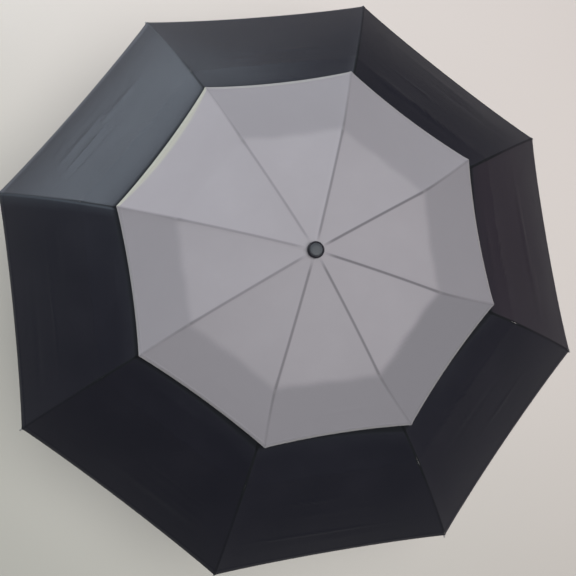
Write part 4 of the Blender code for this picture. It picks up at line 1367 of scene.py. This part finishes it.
def rivet(name, radius, height, rib, start, end, body):
    """A pin across the lanes with a low dome on each end: an outline of radii along its length."""
    dome = np.linspace(0.1, math.pi / 2, 6)
    run = np.concatenate([start - RIVET_RISE * np.cos(dome), [start, end],
                          end + RIVET_RISE * np.cos(dome[::-1])])
    size = np.concatenate([RIVET_HEAD * np.sin(dome), [RIVET_SHANK] * 2,
                           RIVET_HEAD * np.sin(dome[::-1])])
    around = np.linspace(0, 2 * math.pi, ROUND_SIDES, endpoint=False)
    out = radius + size[:, None] * np.cos(around)
    side = np.broadcast_to(run[:, None], out.shape)
    lift = height + size[:, None] * np.sin(around)
    mesh = ring_mesh(name, turned(out, side, lift, rib * PITCH))
    add_run(mesh, side, around * RIVET_HEAD)
    return add_piece(name, mesh, FINISHES["rivet"], body, "rib_steel")


print("tip length:", TIP_LENGTH * 1000, "mm")

# %% All bars
STRETCHER_LENGTH = 0.1180
PIVOT_REACH = 0.1050


def straight_path(start, way, run):
    """Places and directions on a straight line."""
    return start + way * run[:, None], np.broadcast_to(way, (run.size, 2))


def make_bars():
    """Eight ribs of three bars and a stretcher, with their rivets."""
    runner_hinge = np.array(joints["runner_hinge_1"]["pos_m"])[[0, 2]]
    place, _ = arc_path(HINGE_RADIUS, INNER_KNUCKLE, np.array([PIVOT_REACH]))
    pivot = place[0]
    reach = (pivot - runner_hinge) / np.linalg.norm(pivot - runner_hinge)
    inner, outer = (np.array(joints[f"{which}_knuckle_1"]["pos_m"])[[0, 2]]
                    for which in ("inner", "outer"))
    beside_bar = LANE + BAR_SIDE
    made = []
    for rib in range(RIBS):
        k = rib + 1
        made += [
            channel_bar(f"top_channel_{k}", rib, 0.0, rib_arc(HINGE_RADIUS, INNER_KNUCKLE),
                        lambda run: arc_path(HINGE_RADIUS, INNER_KNUCKLE, run),
                        f"top_rib_{k}", f"top_rib_{k}"),
            channel_bar(f"main_channel_{k}", rib, -LANE, rib_arc(INNER_KNUCKLE, OUTER_KNUCKLE),
                        lambda run: arc_path(INNER_KNUCKLE, OUTER_KNUCKLE, run),
                        f"main_rib_{k}", f"main_rib_{k}"),
            channel_bar(f"stretcher_channel_{k}", rib, LANE, STRETCHER_LENGTH,
                        lambda run: straight_path(runner_hinge, reach, run),
                        f"stretcher_{k}", f"stretcher_{k}"),
            outer_rod(rib), rod_tip(rib),
            rivet(f"inner_rivet_{k}", *inner, rib, -beside_bar, BAR_SIDE, f"main_rib_{k}"),
            rivet(f"outer_rivet_{k}", *outer, rib, -beside_bar, BAR_SIDE, f"main_rib_{k}"),
            rivet(f"pivot_rivet_{k}", *pivot, rib, -BAR_SIDE, beside_bar, f"stretcher_{k}"),
        ]
    return made


bars = make_bars()
print("bar pieces:", len(bars))

# %% [markdown]
# ## Thread ties
#
# The cloth is tied to the ribs by a few turns of thread, which are what a look from below shows
# between two knuckles. A tie is a short oval sleeve round the bar and up to the cloth, whose radius
# swells once for each turn of the thread.

# %% Ties
TIE_TURNS, TIE_LENGTH = 4, 0.0020
TIE_HALF_WIDTH, TIE_HALF_HEIGHT, TIE_LIFT, TIE_SWELL = 0.0015, 0.0025, 0.0009, 0.15
TIES = [("main_rib", INNER_KNUCKLE, OUTER_KNUCKLE, -LANE, 0.5),
        ("outer_rib", OUTER_KNUCKLE, RIB_REACH, 0.0, 0.12),
        ("outer_rib", OUTER_KNUCKLE, RIB_REACH, 0.0, 0.55)]


def make_tie(number, rib, bar, start, end, lane, share):
    """Half width and half height swell by a sine of the length for each turn."""
    middle = rib_arc(start, end) * share
    run = np.linspace(-TIE_LENGTH / 2, TIE_LENGTH / 2, 8 * TIE_TURNS + 1)
    turns = np.abs(np.sin(math.pi * TIE_TURNS * (run / TIE_LENGTH + 0.5)))
    swell = (1 - TIE_SWELL) + TIE_SWELL * turns
    place, way = arc_path(start, end, middle + run)
    section = oval_section(TIE_HALF_WIDTH * swell, TIE_HALF_HEIGHT * swell) + (0.0, TIE_LIFT)
    name = f"thread_tie_{rib + 1}_{number + 1}"
    mesh = carried(name, place, way, section, run, rib, lane, True)
    return add_piece(name, mesh, FINISHES["thread"], f"{bar}_{rib + 1}", "black_cloth")


ties = [make_tie(number, rib, *tie) for rib in range(RIBS) for number, tie in enumerate(TIES)]
print("ties:", len(ties))

# %% [markdown]
# ## Release button and the moulded pieces that stay
#
# The button is a soft-edged block with three ridges for the thumb. A superellipse gives its shape:
# the cosine and the sine of a circle, each raised to a small power, fill out the corners. Crown and
# runner keep their packed shape, whose slots hold the bars, and only take their finish here.

# %% Button, crown and runner
BUTTON_SIZE = (0.00385, 0.0060, 0.0100)
BUTTON_MIDDLE, BUTTON_DROP, BUTTON_TURN = 0.010575, 0.0170, math.radians(22.5)
BUTTON_SQUARE = 0.32
RIDGES, RIDGE_HEIGHT = 3, 0.00022


def squared(values):
    """A cosine or sine pushed towards -1 and 1, with its sign kept."""
    return np.sign(values) * np.abs(values) ** BUTTON_SQUARE


def make_button():
    """Point = half size x (squared cosines and sines of two angles), with ridges on its face."""
    up = np.linspace(-math.pi / 2 + 0.02, math.pi / 2 - 0.02, 40)[::-1]
    turn = np.linspace(0, 2 * math.pi, 64, endpoint=False)
    level = squared(np.cos(up))[:, None]
    out = level * squared(np.cos(turn))
    side = level * squared(np.sin(turn))
    high = np.broadcast_to(squared(np.sin(up))[:, None], out.shape)
    ridge = RIDGE_HEIGHT * np.maximum(0, np.cos(RIDGES * math.pi * high)) * np.clip(out, 0, 1) ** 4
    depth, width, height = np.array(BUTTON_SIZE) / 2
    radius = BUTTON_MIDDLE + out * depth + ridge
    level_z = joints["runner_hinge_1"]["pos_m"][2] - BUTTON_DROP
    points = turned(radius, side * width, level_z + high * height, BUTTON_TURN)
    mesh = ring_mesh("release_button_ridged", points)
    return add_piece("release_button_ridged", mesh, FINISHES["button"], "release_button", "button",
                     ["release_button"])


button = make_button()
for node in ("crown", "runner"):
    bpy.data.objects[node].material_slots[0].material = FINISHES["plastic"]
print("button faces:", len(button.data.polygons))

# %% [markdown]
# ## The room
#
# The umbrella stands on a pale, slightly shiny floor in soft light, with one broad window low on
# the left. The window gives the blue-grey sheen on the gore that leans towards it.

# %% Floor and light
FLOOR_COLOUR = (0.76, 0.70, 0.66, 1.0)
FLOOR_SHADED = (0.47, 0.47, 0.42, 1.0)
FLOOR_FADE = (1.6, 4.8)
FLOOR_IN_GLOSS = (0.10, 0.10, 0.12, 1.0)
FLOOR_GLOSS_FADE = 0.65
FLOOR_HALF, FLOOR_DROP = 6.0, 0.001
FAR_TURN, FAR_EDGE = math.radians(59), (-1.1, 0.9)
BACKDROP = (0.72, 0.70, 0.68, 1.0)
GLOSS = 0.12
WORLD_LIGHT, WORLD_COLOUR = 0.12, (0.90, 0.94, 1.0, 1.0)
WINDOW_TURN, WINDOW_EDGE = 142, (0.2, 1.0)
# Name, where it stands as (turn in degrees, distance, height), the height it faces, size, watts
# and colour.
LAMPS = [
    ("window", (WINDOW_TURN, 2.2, 0.70), 0.40, (2.6, 1.0), 36, (0.88, 0.94, 1.0)),
    ("ceiling", (-10, 0.9, 5.0), 0.45, (3.8, 3.8), 215, (1.0, 0.99, 0.985)),
    ("doorway", (28, 2.4, 0.60), 0.40, (1.6, 0.9), 2.0, (1.0, 0.58, 0.66)),
]


def make_floor():
    """A level floor at the foot of the handle. Gloss sees it dimmer than the camera does, so that
    the steep outer cloth doesn't mirror a bright band at its hem, which the photo doesn't show."""
    finish = Finish("pale_floor", Roughness=0.35, Specular_IOR_Level=0.3)
    place = finish.node("TexCoord", None, None, "Object")
    x, y = (finish.node("SeparateXYZ", None, {0: place}, axis) for axis in "XY")
    # Painted shade: the floor darkens from FLOOR_COLOUR to FLOOR_SHADED on the side away from
    # FAR_TURN.
    far_side = finish.blur_step(x * math.cos(FAR_TURN) + y * math.sin(FAR_TURN), *FAR_EDGE)
    colour = finish.mix(far_side * 0.9 + finish.noise(place, 1.2) * 0.1, FLOOR_SHADED, FLOOR_COLOUR)
    material = finish.feed(Base_Color=colour)
    distance = finish.node("VectorMath", {"operation": "LENGTH"}, {0: place}, "Value")
    fade = finish.blur_step(distance, *FLOOR_FADE) * finish.ray("Camera")
    glow, dim = (finish.node("Emission", None, {"Color": shade, "Strength": 1.0})
                 for shade in (BACKDROP, FLOOR_IN_GLOSS))
    own = Wire(finish, finish.shader.outputs[0])
    both = finish.node("MixShader", None, {0: fade, 1: own, 2: glow})
    mirrored = finish.ray("Glossy") * FLOOR_GLOSS_FADE
    finish.cover(finish.node("MixShader", None, {0: mirrored, 1: both, 2: dim}))
    level = cad_box[0].z - FLOOR_DROP
    grid = np.array([(-1, -1), (1, -1), (1, 1), (-1, 1)]) * FLOOR_HALF
    mesh = bpy.data.meshes.new("floor")
    mesh.from_pydata([(x, y, level) for x, y in grid], [], [(0, 1, 2, 3)])
    mesh.materials.append(material)
    floor = add_object("floor", mesh)
    return floor


def make_lamp(name, stand, aim, size, power, colour):
    """A soft lamp that faces the shaft at the height of its aim."""
    degrees, distance, height = stand
    turn = math.radians(degrees)
    place = Vector((distance * math.cos(turn), distance * math.sin(turn), height))
    light = bpy.data.lights.new(name, "AREA")
    light.shape, light.size, light.size_y = "RECTANGLE", *size
    light.energy, light.color = power, colour
    lamp = add_object(name, light)
    lamp.location = place
    lamp.rotation_euler = (Vector((0, 0, aim)) - place).to_track_quat("-Z", "Y").to_euler()
    return lamp


class Room(Finish):
    """The world's nodes, added in the same way as a finish's."""

    def __init__(self, name):
        self.material = bpy.data.worlds.new(name)
        self.material.use_nodes = True
        self.tree = self.material.node_tree
        self.shader = self.tree.nodes["Background"]


def make_world():
    """An even light from all sides. The camera sees a pale backdrop, and so does gloss, brightest
    on the window's side: share = direction x window's direction, from 0 to 1."""
    room = Room("room")
    way = room.node("TexCoord", None, None, "Generated")
    turn = math.radians(WINDOW_TURN)
    window = (math.cos(turn), math.sin(turn), 0.0)
    facing = room.node("VectorMath", {"operation": "DOT_PRODUCT"}, {0: way, 1: window}, "Value")
    gloss = room.ray("Glossy") * room.blur_step(facing, *WINDOW_EDGE) * GLOSS
    pale = room.ray("Camera") + room.ray("Transmission") + gloss
    room.feed(Color=room.mix(pale, tinted(WORLD_COLOUR, WORLD_LIGHT), BACKDROP))
    bpy.context.scene.world = room.material


floor = make_floor()
make_world()
for lamp in LAMPS:
    make_lamp(*lamp)
bpy.context.scene.view_settings.view_transform = "Standard"
print("lamps:", ", ".join(lamp[0] for lamp in LAMPS))

# %% [markdown]
# ## Closing
